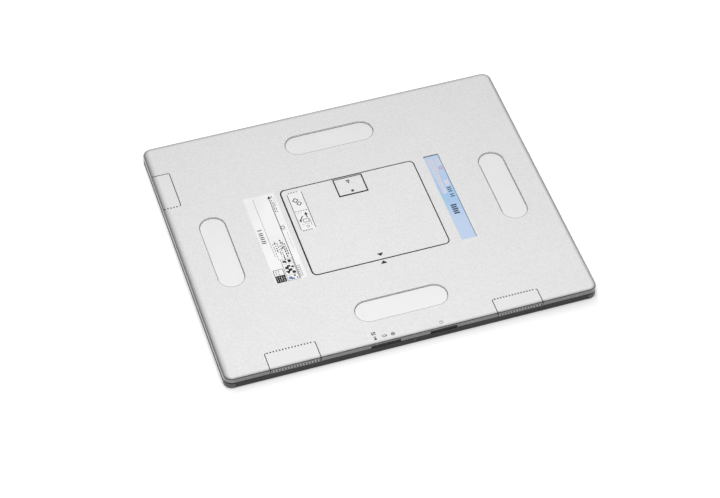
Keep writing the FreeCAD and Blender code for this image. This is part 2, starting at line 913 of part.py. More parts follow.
def battery_case():
    center = (pack_center_x, pack_center_y)
    shell = rounded_plate(pack_length, pack_width, pack_radius, pack_bottom, lid_bottom, *center)
    shell = shell.cut(rounded_plate(pack_length - 2 * pack_wall, pack_width - 2 * pack_wall,
                                    pack_radius - pack_wall, pack_inside_bottom, lid_bottom,
                                    *center))
    half_outer = pocket_width / 2 + latch_pocket_wall
    pocket_box = block(pack_center_x - half_outer, pack_center_x + half_outer,
                       pocket_near - latch_pocket_wall, pack_far - pack_wall,
                       pack_inside_bottom, lid_bottom)
    shell = shell.fuse(pocket_box)
    half_pocket = pocket_width / 2
    shell = shell.cut(block(pack_center_x - half_pocket, pack_center_x + half_pocket,
                            pocket_near, pack_far - pack_wall, latch_pocket_bottom, lid_bottom))
    half_knob = knob_width / 2 + latch_side_gap / 2
    shell = shell.cut(block(pack_center_x - half_knob, pack_center_x + half_knob,
                            pack_far - pack_wall, pack_far, latch_pocket_bottom, lid_bottom))
    for x in contact_xs():
        half_x = contact_pad_length / 2 + contact_pad_clearance
        half_y = contact_pad_width / 2 + contact_pad_clearance
        shell = shell.cut(block(x - half_x, x + half_x, contact_center_y - half_y,
                                contact_center_y + half_y, pack_bottom, pack_inside_bottom))
    return shell.removeSplitter()


def battery_lid():
    lid = rounded_plate(pack_length, pack_width, pack_radius, lid_bottom, cover_top,
                        pack_center_x, pack_center_y)
    lid = lid.cut(notch_block(lid_bottom, cover_top))
    return lid.makeChamfer(edge_break, edges_at_level(lid, cover_top))


def battery_cells():
    cells = []
    end_gap = pack_wall + cell_end_gap
    ends = ((pack_left + end_gap, pack_center_x - cell_side_gap),
            (pack_center_x + cell_side_gap, pack_right - end_gap))
    board_level = pack_inside_bottom + battery_board_thickness
    for x_low, x_high in ends:
        cell = block(x_low, x_high, cells_near, cells_far, pack_inside_bottom, cell_top)
        for x in (x_low + tab_side_gap, x_high - tab_side_gap):
            tab = block(x - tab_width / 2, x + tab_width / 2, cells_far,
                        battery_board_near + tab_reach, board_level, board_level + tab_thickness)
            cell = cell.fuse(tab)
        cells.append(cell)
    return cells


def battery_board():
    return block(pack_left + pack_wall + cell_side_gap, pack_right - pack_wall - cell_side_gap,
                 battery_board_near, battery_board_far,
                 pack_inside_bottom, pack_inside_bottom + battery_board_thickness)


def battery_contacts():
    half_x = contact_pad_length / 2
    half_y = contact_pad_width / 2
    return [block(x - half_x, x + half_x, contact_center_y - half_y, contact_center_y + half_y,
                  pack_bottom, pack_inside_bottom) for x in contact_xs()]


# Battery latch

def latch_slider():
    half_base = latch_base_width / 2
    base_top = lid_bottom - latch_running_clearance
    base = block(pack_center_x - half_base, pack_center_x + half_base, latch_base_near, latch_far,
                 latch_base_bottom, base_top)
    knob = rounded_plate(knob_width, latch_far - latch_near, knob_corner_radius, base_top,
                         cover_top - latch_recess, pack_center_x, (latch_near + latch_far) / 2)
    knob_top = cover_top - latch_recess
    knob = knob.makeChamfer(edge_break, edges_at_level(knob, knob_top))
    dimple = upright_cylinder(pack_center_x, latch_near + dimple_near_gap,
                              knob_top - dimple_depth, knob_top, dimple_radius)
    return base.fuse(knob).cut(dimple).removeSplitter()


def latch_bolt():
    half = knob_width / 2
    return block(pack_center_x - half, pack_center_x + half, latch_far, pack_far + bolt_reach,
                 latch_base_bottom, bolt_top)


def latch_spring():
    # A bowed strip between the pocket's near wall and the slider
    z_low = latch_base_bottom + latch_spring_lift
    reach = latch_spring_width / 2
    foot = pocket_near
    crown = latch_base_near
    outer = Part.Arc(FreeCAD.Vector(pack_center_x - reach, foot, z_low),
                     FreeCAD.Vector(pack_center_x, crown, z_low),
                     FreeCAD.Vector(pack_center_x + reach, foot, z_low)).toShape()
    inner_reach = reach - latch_spring_thickness
    inner = Part.Arc(FreeCAD.Vector(pack_center_x + inner_reach, foot, z_low),
                     FreeCAD.Vector(pack_center_x, crown - latch_spring_thickness, z_low),
                     FreeCAD.Vector(pack_center_x - inner_reach, foot, z_low)).toShape()
    ends = [Part.LineSegment(FreeCAD.Vector(pack_center_x + reach, foot, z_low),
                             FreeCAD.Vector(pack_center_x + inner_reach, foot, z_low)).toShape(),
            Part.LineSegment(FreeCAD.Vector(pack_center_x - inner_reach, foot, z_low),
                             FreeCAD.Vector(pack_center_x - reach, foot, z_low)).toShape()]
    face = Part.Face(Part.Wire([outer, ends[0], inner, ends[1]]))
    return face.extrude(FreeCAD.Vector(0, 0, latch_spring_height))


# Near edge: status window and power button

def slot_bar(center, length, recess):
    # A bar that fills its slot in the cover, with a flange behind the wall
    bar = slot_block(center, length, -bar_clearance, bar_bottom, bar_top, recess,
                     bar_flange_outer)
    flange = slot_block(center, length, bar_flange, bar_bottom, bar_top, bar_flange_outer,
                        bar_flange_inner)
    return bar, flange


def status_window():
    bar, flange = slot_bar(status_slot_center, status_slot_length, status_recess)
    return bar.fuse(flange).removeSplitter()


def light_guide():
    return slot_block(status_slot_center, status_slot_length, -bar_flange, bar_bottom,
                      bar_top - light_guide_top_gap, bar_flange_inner, guide_inner)


def status_leds():
    front = -half_width + guide_inner
    return [block(status_slot_center + offset - led_length / 2,
                  status_slot_center + offset + led_length / 2, front, front + led_depth,
                  board_top, board_top + led_height) for offset in led_offsets]


def power_button():
    bar, flange = slot_bar(button_slot_center, button_slot_length, button_recess)
    stem = inward_cylinder(button_slot_center, bar_flange_inner, stem_end, bar_middle,
                           stem_radius)
    return bar.fuse(flange).fuse(stem).removeSplitter()


def return_sleeve():
    outer = inward_cylinder(button_slot_center, bar_flange_inner, switch_front, bar_middle,
                            sleeve_outer_radius)
    inner = inward_cylinder(button_slot_center, bar_flange_inner, switch_front, bar_middle,
                            sleeve_inner_radius)
    return outer.cut(inner)


def button_switch():
    body = slot_block(button_slot_center, switch_length, 0.0, board_top,
                      bar_top - switch_top_gap, switch_front, switch_front + switch_depth)
    plunger = inward_cylinder(button_slot_center, plunger_front, switch_front, bar_middle,
                              plunger_radius)
    return body.fuse(plunger)


# Cables inside the case

def flat_cable(x_low, x_high, y_low, y_high):
    return block(x_low, x_high, y_low, y_high, board_top, board_top + flex_thickness)


def board_flexes():
    places = board_places()
    main = places["main"]
    power = places["power"]
    gate = places["gate"]
    readout = places["readout"]
    indicator = places["indicator"]
    wireless = places["wireless"]
    half = flex_width / 2
    main_x = (main[0] + main[1]) / 2
    to_readout = flat_cable(main_x - half, main_x + half, main[3] - flex_overlap,
                            readout[2] + flex_overlap)
    to_power = flat_cable(main[1] - flex_overlap, power[0] + flex_overlap,
                          cross_cable_y - half, cross_cable_y + half)
    power_y = (power[2] + power[3]) / 2
    to_gate = flat_cable(power[1] - flex_overlap / 2, gate[0] + flex_overlap / 2,
                         power_y - half, power_y + half)
    bend_low = indicator[3] + indicator_flex_reach
    bend_high = bend_low + flex_width
    landing = (indicator[0] + indicator[1]) / 2 - flex_width
    down = flat_cable(main_x - half, main_x + half, bend_low, main[2] + flex_overlap)
    across = flat_cable(main_x - half, landing, bend_low, bend_high)
    onto_board = flat_cable(landing - flex_width, landing, indicator[3] - flex_overlap, bend_high)
    to_indicator = down.fuse(across).fuse(onto_board).removeSplitter()
    wireless_y = (wireless[2] + wireless[3]) / 2
    to_wireless = flat_cable(main[1] - flex_overlap, wireless[0] + flex_overlap / 2,
                             wireless_y - half / 2, wireless_y + half / 2)
    return [to_readout, to_power, to_gate, to_indicator, to_wireless]


def bent_path(points, bends):
    # Straight runs joined by tangent arcs, with one bend radius for each inner point
    edges = []
    start = points[0]
    for index, bend in enumerate(bends):
        corner = points[index + 1]
        back = (points[index] - corner).normalize()
        onward = (points[index + 2] - corner).normalize()
        half_turn = back.getAngle(onward) / 2
        setback = bend / math.tan(half_turn)
        arc_start = corner + back * setback
        arc_end = corner + onward * setback
        middle_way = (back + onward).normalize()
        middle = corner + middle_way * (bend / math.sin(half_turn) - bend)
        edges.append(Part.LineSegment(start, arc_start).toShape())
        edges.append(Part.Arc(arc_start, middle, arc_end).toShape())
        start = arc_end
    edges.append(Part.LineSegment(start, points[-1]).toShape())
    return Part.Wire(edges)


def lead_tube(points, bends):
    path = bent_path(points, bends)
    direction = (points[1] - points[0]).normalize()
    circle = Part.Wire([Part.Circle(points[0], direction, lead_radius).toShape()])
    return path.makePipeShell([circle], True, False)


def antenna_leads():
    # From the wireless module's near side to the middle of each window's antenna
    wireless = board_places()["wireless"]
    level = support_top + lead_radius + lead_plate_gap
    antenna_bottom = cover_underside - window_flange_thickness - antenna_thickness
    start_y = wireless[2]
    tubes = []
    for index, (name, place) in enumerate(window_places().items()):
        start_x = wireless[0] + lead_pitch * (index + 1)
        turn_y = start_y - 2 * lead_bend * (2 if index else 1)
        end_x = (place[0] + place[1]) / 2
        end_y = (place[2] + place[3]) / 2
        if name == "left":
            end_x = place[0] + left_lead_edge_gap
        points = [FreeCAD.Vector(start_x, start_y, level), FreeCAD.Vector(start_x, turn_y, level),
                  FreeCAD.Vector(end_x, turn_y, level), FreeCAD.Vector(end_x, end_y, level),
                  FreeCAD.Vector(end_x, end_y, antenna_bottom)]
        tubes.append(lead_tube(points, (lead_bend, lead_bend, lead_rise_bend)))
    return tubes


# Posts and screws

def cover_posts():
    posts = []
    for x, y, surface in cover_screw_places():
        post = upright_cylinder(x, y, support_top, cover_underside, post_radius)
        hole = upright_cylinder(x, y, surface - post_screw_depth, cover_underside,
                                small_screw_radius + screw_hole_clearance)
        posts.append(post.cut(hole))
    return posts


def cover_screws():
    return [flat_screw(x, y, surface, post_screw_depth - screw_hole_clearance)
            for x, y, surface in cover_screw_places()]


def frame_screws():
    length = support_top - front_plate_thickness
    return [flat_screw(x, y, support_top, length) for x, y in frame_screw_places()]


def board_screws():
    length = board_thickness + board_standoff + support_thickness / 2
    return [pan_screw(x, y, board_top, length)
            for name in screwed_boards for x, y in board_screw_places(name)]


def bay_screws():
    return [flat_screw(x, y, pack_bottom, bay_floor + support_thickness / 2)
            for x, y in bay_screw_places()]


# Labels

def label(length, width, center_x, center_y, surface):
    return rounded_plate(width, length, label_corner_radius, surface,
                         surface + label_thickness, center_x, center_y)


def white_label():
    return label(white_label_length, white_label_width, white_label_center_x,
                 white_label_center_y, cover_top)


def blue_label():
    return label(blue_label_length, blue_label_width, blue_label_center_x,
                 blue_label_center_y, blue_label_floor)


def battery_label():
    x = pack_left + battery_label_left_gap + battery_label_width / 2
    y = pack_far - battery_label_far_gap - battery_label_length / 2
    return label(battery_label_length, battery_label_width, x, y, cover_top)


def all_parts():
    parts = {
        "rear_cover": rear_cover(),
        "front_frame": front_frame(),
        "seal_gasket": seal_gasket(),
        "front_plate": front_plate(),
        "shock_foam": shock_foam(),
        "scintillator": scintillator(),
        "sensor_glass": sensor_glass(),
        "shield_sheet": shield_sheet(),
        "support_plate": support_plate(),
        "gate_films": gate_films(),
        "readout_films": readout_films(),
        "board_chips": board_chips(),
        "board_flexes": board_flexes(),
        "battery_flex": battery_flex(),
        "wireless_module": wireless_module(),
        "antennas": antennas(),
        "antenna_leads": antenna_leads(),
        "battery_bay": battery_bay(),
        "bay_connector": bay_connector(),
        "contact_pins": contact_pins(),
        "catch_spring": catch_spring(),
        "battery_case": battery_case(),
        "battery_lid": battery_lid(),
        "battery_cells": battery_cells(),
        "battery_board": battery_board(),
        "battery_contacts": battery_contacts(),
        "latch_slider": latch_slider(),
        "latch_bolt": latch_bolt(),
        "latch_spring": latch_spring(),
        "status_window": status_window(),
        "light_guide": light_guide(),
        "status_leds": status_leds(),
        "power_button": power_button(),
        "return_sleeve": return_sleeve(),
        "button_switch": button_switch(),
        "cover_posts": cover_posts(),
        "cover_screws": cover_screws(),
        "frame_screws": frame_screws(),
        "board_screws": board_screws(),
        "bay_screws": bay_screws(),
        "white_label": white_label(),
        "blue_label": blue_label(),
        "battery_label": battery_label(),
    }
    for name in screwed_boards:
        parts[name + "_board"] = circuit_board(name)
    for name, place in grip_places().items():
        parts["grip_pad_" + name] = grip_pad(place)
    for name, place in window_places().items():
        parts["radio_window_" + name] = radio_window(place)
    for name, guard in corner_guards().items():
        parts["corner_guard_" + name] = guard
    return parts


def main():
    os.makedirs("parts", exist_ok=True)
    for name, shape in all_parts().items():
        if isinstance(shape, list):
            shape = Part.makeCompound(shape)
        shape.exportStep("parts/" + name + ".step")
        print(name, round(shape.Volume, 1), len(shape.Solids), shape.isValid())


main()
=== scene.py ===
import math
import random

import bmesh
import bpy
from mathutils import Matrix, Vector


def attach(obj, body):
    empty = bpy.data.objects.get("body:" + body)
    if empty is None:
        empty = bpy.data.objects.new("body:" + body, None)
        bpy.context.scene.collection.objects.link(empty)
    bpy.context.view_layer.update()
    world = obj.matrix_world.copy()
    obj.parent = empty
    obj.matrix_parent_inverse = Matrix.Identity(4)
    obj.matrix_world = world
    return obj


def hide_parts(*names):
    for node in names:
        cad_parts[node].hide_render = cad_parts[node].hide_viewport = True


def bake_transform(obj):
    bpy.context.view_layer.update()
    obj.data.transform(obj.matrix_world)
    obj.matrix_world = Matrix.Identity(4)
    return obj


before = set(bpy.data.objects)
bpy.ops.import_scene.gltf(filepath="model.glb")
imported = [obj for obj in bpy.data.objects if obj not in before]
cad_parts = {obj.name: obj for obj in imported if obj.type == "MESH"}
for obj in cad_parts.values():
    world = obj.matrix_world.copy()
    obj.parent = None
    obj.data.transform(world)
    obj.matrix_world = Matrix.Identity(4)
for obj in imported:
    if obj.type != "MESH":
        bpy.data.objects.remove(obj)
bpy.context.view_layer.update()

MM = 0.001


# Node graphs


class Graph:
    """A material's or world's node tree, with its last shader and output."""

    def __init__(self, owner):
        owner.use_nodes = True
        self.tree = owner.node_tree
        self.tree.nodes.clear()
        self.place = None

    def add(self, kind, settings=None, **sockets):
        node = self.tree.nodes.new(kind)
        for key, value in (settings or {}).items():
            setattr(node, key, value)
        for key, value in sockets.items():
            self.put(node.inputs[key.replace("_", " ")], value)
        return node

    def put(self, socket, value):
        if isinstance(value, bpy.types.NodeSocket):
            self.tree.links.new(value, socket)
        else:
            socket.default_value = value

    def where(self):
        """The place on the object, in metres."""
        if self.place is None:
            self.place = self.add("ShaderNodeTexCoord").outputs["Object"]
        return self.place

    def axes(self):
        """The place on the object as x, y and z in millimetres."""
        scaled = self.add("ShaderNodeVectorMath", {"operation": "SCALE"}, Vector=self.where())
        scaled.inputs["Scale"].default_value = 1 / MM
        split = self.add("ShaderNodeSeparateXYZ", Vector=scaled.outputs["Vector"])
        return split.outputs["X"], split.outputs["Y"], split.outputs["Z"]

    def sum(self, operation, first, second=None, third=None, clamp=False):
        node = self.add("ShaderNodeMath", {"operation": operation, "use_clamp": clamp})
        for socket, value in zip(node.inputs, (first, second, third)):
            if value is not None:
                self.put(socket, value)
        return node.outputs[0]

    def noise(self, size, detail=2.0, rough=0.5, stretch=None):
        """Noise whose largest features are about size millimetres."""
        place = self.where()
        if stretch:
            place = self.add("ShaderNodeMapping", Vector=place, Scale=stretch).outputs[0]
        node = self.add("ShaderNodeTexNoise", Vector=place, Scale=1 / (size * MM), Detail=detail)
        node.inputs["Roughness"].default_value = rough
        return node.outputs["Fac"]

    def cells(self, size, feature="F1", output="Distance"):
        node = self.add("ShaderNodeTexVoronoi", {"feature": feature}, Vector=self.where())
        node.inputs["Scale"].default_value = 1 / (size * MM)
        return node.outputs[output]

    def span(self, value, low, high, to_low=0.0, to_high=1.0, smooth=False):
        kind = "SMOOTHSTEP" if smooth else "LINEAR"
        node = self.add("ShaderNodeMapRange", {"interpolation_type": kind}, Value=value)
        for key, number in (("From Min", low), ("From Max", high),
                            ("To Min", to_low), ("To Max", to_high)):
            self.put(node.inputs[key], number)
        return node.outputs[0]

    def blend(self, share, first, second, mode="MIX"):
        node = self.add("ShaderNodeMix", {"data_type": "RGBA", "blend_type": mode})
        self.put(node.inputs[0], share)
        self.put(node.inputs[6], first)
        self.put(node.inputs[7], second)
        return node.outputs[2]

    def relief(self, height, depth, strength=1.0, under=None):
        """A bump of that depth in millimetres."""
        node = self.add("ShaderNodeBump", Height=height, Distance=depth * MM, Strength=strength)
        if under is not None:
            self.put(node.inputs["Normal"], under)
        return node.outputs["Normal"]

    def finish(self, colour, roughness, normal=None, **constants):
        """The surface shader, with its constants on its own sockets."""
        shader = self.add("ShaderNodeBsdfPrincipled")
        self.put(shader.inputs["Base Color"], colour)
        self.put(shader.inputs["Roughness"], roughness)
        if normal is not None:
            self.put(shader.inputs["Normal"], normal)
        for key, value in constants.items():
            shader.inputs[key.replace("_", " ")].default_value = value
        output = self.add("ShaderNodeOutputMaterial")
        self.tree.links.new(shader.outputs[0], output.inputs["Surface"])
        return shader


def tone(red, green=None, blue=None):
    """An RGBA colour from linear values; one value makes a grey."""
    if green is None:
        return (red, red, red, 1.0)
    return (red, green, blue, 1.0)


def new_graph(name):
    return Graph(bpy.data.materials.new(name))


# Painted metal and plastic of the outside

HALF_LENGTH = 230.0
HALF_WIDTH = 192.0
CORNER = 11.0
DOT_PITCH = 2.9


def edge_distance(graph):
    """Millimetres inwards from the panel's outline, level beyond the corner radius."""
    x, y, z = graph.axes()
    across = graph.sum("SUBTRACT", graph.sum("ABSOLUTE", x), HALF_LENGTH - CORNER)
    along = graph.sum("SUBTRACT", graph.sum("ABSOLUTE", y), HALF_WIDTH - CORNER)
    across = graph.sum("MAXIMUM", across, 0.0)
    along = graph.sum("MAXIMUM", along, 0.0)
    reach = graph.sum("SQRT", graph.sum("ADD", graph.sum("MULTIPLY", across, across),
                                        graph.sum("MULTIPLY", along, along)))
    return graph.sum("SUBTRACT", CORNER, reach)


def rim_finish_and_painted_shade(graph, colour, metallic, roughness, distance):
    """Shinier metal on the rounded rim and duller metal on the upright sides, with painted shade: darker colour on the
    rim, on the sides, on the top's strip next to the rim and towards the left end.
    """
    normal = graph.add("ShaderNodeTexCoord").outputs["Normal"]
    slope = graph.sum("ABSOLUTE", graph.add("ShaderNodeSeparateXYZ", Vector=normal).outputs["Z"])
    outer = graph.span(distance, 3.0, 4.0, 1.0, 0.0)
    # shoulder: the top's strip next to the rim, whose darker colour is painted shade
    shoulder = graph.span(distance, 2.0, 5.4, 0.55, 0.0, smooth=True)
    rounded = graph.sum("MULTIPLY", graph.span(slope, 0.92, 0.998, 1.0, 0.0, smooth=True), outer)
    upright = graph.sum("MULTIPLY", graph.span(slope, 0.45, 0.82, 1.0, 0.0, smooth=True), outer)
    colour = graph.blend(shoulder, colour, tone(0.48))
    # painted shade: darker colour towards the panel's left end
    left_end_shade = graph.span(graph.axes()[0], -228.0, -221.5, 0.42, 0.0)
    colour = graph.blend(left_end_shade, colour, tone(0.1))
    # painted reflection: the rounded rim and the upright sides are darker in colour than the top
    colour = graph.blend(rounded, colour, tone(0.15, 0.151, 0.153))
    colour = graph.blend(upright, colour, tone(0.22, 0.221, 0.223))
    bright = graph.sum("MAXIMUM", graph.sum("MULTIPLY", rounded, 0.8), shoulder)
    metallic = graph.sum("MAXIMUM", metallic, bright)
    metallic = graph.sum("SUBTRACT", metallic, graph.sum("MULTIPLY", upright, 0.35))
    roughness = graph.sum("SUBTRACT", roughness, graph.sum("MULTIPLY", rounded, 0.14))
    return colour, metallic, roughness


def shoulder_relief(graph, distance):
    """The slight fall of the flat top towards its rounded rim."""
    fall = graph.sum("MAXIMUM", graph.sum("SUBTRACT", 5.4, distance), 0.0)
    fall = graph.sum("MULTIPLY", graph.sum("MULTIPLY", fall, fall), -0.045)
    return graph.relief(fall, 1.0)


def silver_paint(name, light, dark, metallic, shade_level, rim=False, wear=0.0):
    """Silver paint with fine metal flakes, with painted shade that makes it black below a given level and on the bay's
    walls.
    """
    graph = new_graph(name)
    distance = edge_distance(graph)
    flakes = graph.noise(0.9, 3.0, 0.7)
    sparkle = graph.cells(0.95, output="Color")
    mottle = graph.noise(46.0, 2.0, 0.5)
    colour = graph.blend(graph.span(flakes, 0.3, 0.7), dark, light)
    grey = graph.add("ShaderNodeRGBToBW", Color=sparkle).outputs[0]
    colour = graph.blend(graph.span(grey, 0.3, 0.8, 0.0, 0.26), colour, tone(0.5))
    colour = graph.blend(graph.span(mottle, 0.35, 0.65, 0.0, 0.06), colour, tone(0.63))
    roughness = graph.span(flakes, 0.25, 0.75, 0.33, 0.46)
    if rim:
        colour, metallic, roughness = rim_finish_and_painted_shade(graph, colour, metallic, roughness, distance)
    x, y, z = graph.axes()
    normal = graph.add("ShaderNodeTexCoord").outputs["Normal"]
    slope = graph.sum("ABSOLUTE", graph.add("ShaderNodeSeparateXYZ", Vector=normal).outputs["Z"])
    # painted shade in the gaps: black on the bay's walls and below the given level
    inside = graph.sum("MULTIPLY", graph.sum("COMPARE", x, 0.5, 92.0), graph.sum("COMPARE", y, 1.6, 78.0))
    gap_shade = graph.sum("MULTIPLY", inside, graph.sum("LESS_THAN", slope, 0.6))
    gap_shade = graph.sum("MAXIMUM", gap_shade, graph.sum("LESS_THAN", z, shade_level))
    if wear > 0.0:
        scuff = graph.noise(7.0, 6.0, 0.68)
        edge = graph.span(distance, 0.0, 3.0, 1.0, 0.0, smooth=True)
        worn = graph.sum("MULTIPLY", edge, graph.span(scuff, 0.56, 0.66), clamp=True)
        worn = graph.sum("MULTIPLY", worn, wear)
        colour = graph.blend(worn, colour, tone(0.7))
        roughness = graph.sum("SUBTRACT", roughness, graph.sum("MULTIPLY", worn, 0.12))
    colour = graph.blend(gap_shade, colour, tone(0.01))
    metallic = graph.sum("MULTIPLY", metallic, graph.sum("SUBTRACT", 1.0, gap_shade))
    normal = graph.relief(flakes, 0.008, 0.6, shoulder_relief(graph, distance))
    shader = graph.finish(colour, roughness, normal, Coat_Weight=0.12, Coat_Roughness=0.3)
    graph.put(shader.inputs["Metallic"], metallic)
    return graph


def moulded(name, light, dark, size=0.5, rough=(0.42, 0.58), depth=0.01, metallic=0.0,
            mottle=30.0, seam_shade_above=None, **constants):
    """Moulded plastic or plain paint with a fine spark-eroded grain, with painted seam shade that makes it black above
    a given level.
    """
    graph = new_graph(name)
    grain = graph.noise(size, 4.0, 0.65)
    cloud = graph.noise(mottle, 2.0, 0.5)
    mixed = graph.sum("ADD", graph.sum("MULTIPLY", grain, 0.6), graph.sum("MULTIPLY", cloud, 0.4))
    colour = graph.blend(graph.span(mixed, 0.36, 0.64), dark, light)
    # painted seam shade: black above the given level
    if seam_shade_above is not None:
        colour = graph.blend(graph.sum("GREATER_THAN", graph.axes()[2], seam_shade_above), colour, tone(0.006))
    roughness = graph.span(grain, 0.3, 0.7, rough[0], rough[1])
    normal = graph.relief(grain, depth, 0.7)
    graph.finish(colour, roughness, normal, Metallic=metallic, **constants)
    return graph


def brushed(name, light, dark, stretch=(1.0, 14.0, 1.0), rough=(0.24, 0.4), size=1.2, depth=0.006):
    """Rolled or brushed metal."""
    graph = new_graph(name)
    lines = graph.noise(size, 5.0, 0.7, stretch)
    stain = graph.noise(24.0, 3.0, 0.55)
    colour = graph.blend(graph.span(lines, 0.3, 0.7), dark, light)
    colour = graph.blend(graph.span(stain, 0.45, 0.7, 0.0, 0.15), colour, dark)
    roughness = graph.span(lines, 0.3, 0.7, rough[0], rough[1])
    graph.finish(colour, roughness, graph.relief(lines, depth, 0.6), Metallic=1.0)
    return graph


def laminate(name):
    """Green circuit board with tracks under its solder mask."""
    graph = new_graph(name)
    x, y, z = graph.axes()
    lanes = graph.sum("FRACT", graph.sum("MULTIPLY", graph.sum("ADD", x, y), 0.55))
    bands = graph.sum("FRACT", graph.sum("MULTIPLY", graph.sum("SUBTRACT", x, y), 0.21))
    track = graph.sum("MULTIPLY", graph.sum("LESS_THAN", lanes, 0.42), graph.sum("LESS_THAN", bands, 0.6))
    patch = graph.sum("GREATER_THAN", graph.noise(9.0, 1.0), 0.52)
    track = graph.sum("MULTIPLY", track, patch)
    base = graph.blend(graph.noise(2.0, 3.0), tone(0.006, 0.05, 0.022), tone(0.012, 0.075, 0.035))
    colour = graph.blend(track, base, tone(0.03, 0.17, 0.07))
    graph.finish(colour, graph.span(graph.noise(1.5, 3.0), 0.3, 0.7, 0.3, 0.42),
                 graph.relief(track, 0.02, 0.6), Coat_Weight=0.3)
    return graph


def film(name, light, dark, pitch):
    """Flat cable or film with its conductors showing through."""
    graph = new_graph(name)
    x, y, z = graph.axes()
    lane = graph.sum("FRACT", graph.sum("DIVIDE", graph.sum("ADD", x, y), pitch))
    wire = graph.span(graph.sum("PINGPONG", lane, 0.5), 0.16, 0.3, smooth=True)
    colour = graph.blend(wire, dark, light)
    colour = graph.blend(graph.noise(1.5, 3.0), colour, dark)
    graph.finish(colour, graph.span(graph.noise(0.8, 3.0), 0.3, 0.7, 0.28, 0.4),
                 graph.relief(wire, 0.015, 0.6), Coat_Weight=0.4)
    return graph


def radio_window(name):
    """The rim's plastic windows: smoother and paler than the paint, with the cover's painted shade on the rim and
    sides, seamed and dotted on the side.
    """
    graph = new_graph(name)
    distance = edge_distance(graph)
    grain = graph.noise(0.6, 3.0, 0.6)
    colour = graph.blend(graph.span(grain, 0.3, 0.7), tone(0.79), tone(0.83))
    roughness = graph.span(grain, 0.3, 0.7, 0.36, 0.46)
    # painted shade on the rim and sides, as on the cover
    colour, metallic, roughness = rim_finish_and_painted_shade(graph, colour, 0.3, roughness, distance)
    x, y, z = graph.axes()
    near = graph.sum("LESS_THAN", y, -190.0)
    row = graph.sum("MULTIPLY", near, graph.sum("COMPARE", z, 12.5, 1.1))
    beat = graph.sum("FRACT", graph.sum("DIVIDE", x, 3.6))
    pale_dot = graph.sum("MULTIPLY", row, graph.sum("LESS_THAN", beat, 0.5))
    dark_dot = graph.sum("MULTIPLY", row, graph.sum("GREATER_THAN", beat, 0.5))
    colour = graph.blend(pale_dot, colour, tone(0.6))
    colour = graph.blend(dark_dot, colour, tone(0.005))
    metallic = graph.sum("MULTIPLY", metallic, graph.sum("SUBTRACT", 1.0, row))
    ends = None
    for place in (-175.9, -114.4, 103.1, 159.7):
        end = graph.sum("COMPARE", x, place, 0.75)
        ends = end if ends is None else graph.sum("MAXIMUM", ends, end)
    ends = graph.sum("MULTIPLY", ends, graph.sum("LESS_THAN", distance, 1.5))
    colour = graph.blend(ends, colour, tone(0.01))
    metallic = graph.sum("MULTIPLY", metallic, graph.sum("SUBTRACT", 1.0, ends))
    shader = graph.finish(colour, roughness, graph.relief(grain, 0.006, 0.5, shoulder_relief(graph, distance)))
    graph.put(shader.inputs["Metallic"], metallic)
    return graph


def carbon_plate(name):
    """Carbon fibre twill under clear resin, with ruled lines of the picture area."""
    graph = new_graph(name)
    x, y, z = graph.axes()
    tow = 2.6
    column = graph.sum("FLOOR", graph.sum("DIVIDE", x, tow))
    row = graph.sum("FLOOR", graph.sum("DIVIDE", y, tow))
    beat = graph.sum("FLOORED_MODULO", graph.sum("ADD", column, row), 4.0)
    over = graph.sum("LESS_THAN", beat, 1.5)
    fibre_x = graph.noise(0.5, 3.0, 0.6, (1.0, 9.0, 1.0))
    fibre_y = graph.noise(0.5, 3.0, 0.6, (9.0, 1.0, 1.0))
    warp = graph.blend(fibre_x, tone(0.03, 0.031, 0.034), tone(0.06, 0.061, 0.066))
    weft = graph.blend(fibre_y, tone(0.014, 0.0145, 0.016), tone(0.032, 0.033, 0.036))
    colour = graph.blend(over, weft, warp)
    bulge_x = graph.sum("PINGPONG", graph.sum("DIVIDE", x, tow), 0.5)
    bulge_y = graph.sum("PINGPONG", graph.sum("DIVIDE", y, tow), 0.5)
    weave = graph.blend(over, bulge_y, bulge_x)
    across = graph.sum("ABSOLUTE", x)
    along = graph.sum("ABSOLUTE", y)

    def near(value, level, half):
        return graph.sum("LESS_THAN", graph.sum("ABSOLUTE", graph.sum("SUBTRACT", value, level)), half)

    def both(first, second):
        return graph.sum("MULTIPLY", first, second)

    def under(value, level):
        return graph.sum("LESS_THAN", value, level)

    edge = graph.sum("MAXIMUM", both(near(across, 213.0, 0.5), under(along, 175.4)),
                     both(near(along, 175.0, 0.5), under(across, 213.4)))
    corner = both(graph.sum("GREATER_THAN", across, 178.0), graph.sum("GREATER_THAN", along, 140.0))
    dash = under(graph.sum("FRACT", graph.sum("DIVIDE", graph.sum("ADD", across, along), 8.0)), 0.5)
    edge = both(edge, graph.sum("MAXIMUM", corner, dash))
    cross = graph.sum("MAXIMUM", both(near(across, 0.0, 0.35), under(along, 22.0)),
                      both(near(along, 0.0, 0.35), under(across, 22.0)))
    ends = graph.sum("MAXIMUM",
                     both(near(across, 0.0, 0.5), both(graph.sum("GREATER_THAN", along, 150.0), under(along, 175.0))),
                     both(near(along, 0.0, 0.5), both(graph.sum("GREATER_THAN", across, 188.0), under(across, 213.0))))
    ruled = graph.sum("MAXIMUM", edge, graph.sum("MAXIMUM", cross, ends))
    ruled = both(ruled, under(z, 0.4))
    ruled = both(ruled, graph.span(graph.noise(0.7, 3.0), 0.3, 0.42))
    colour = graph.blend(ruled, colour, tone(0.55, 0.56, 0.57))
    scratch = graph.span(graph.noise(3.0, 6.0, 0.75, (1.0, 22.0, 1.0)), 0.62, 0.72, 0.0, 0.35)
    colour = graph.blend(scratch, colour, tone(0.09))
    roughness = graph.sum("ADD", graph.span(fibre_x, 0.3, 0.7, 0.26, 0.38), graph.sum("MULTIPLY", scratch, 0.4))
    graph.finish(colour, roughness, graph.relief(weave, 0.05, 0.5), Coat_Weight=0.5, Coat_Roughness=0.16)
    return graph


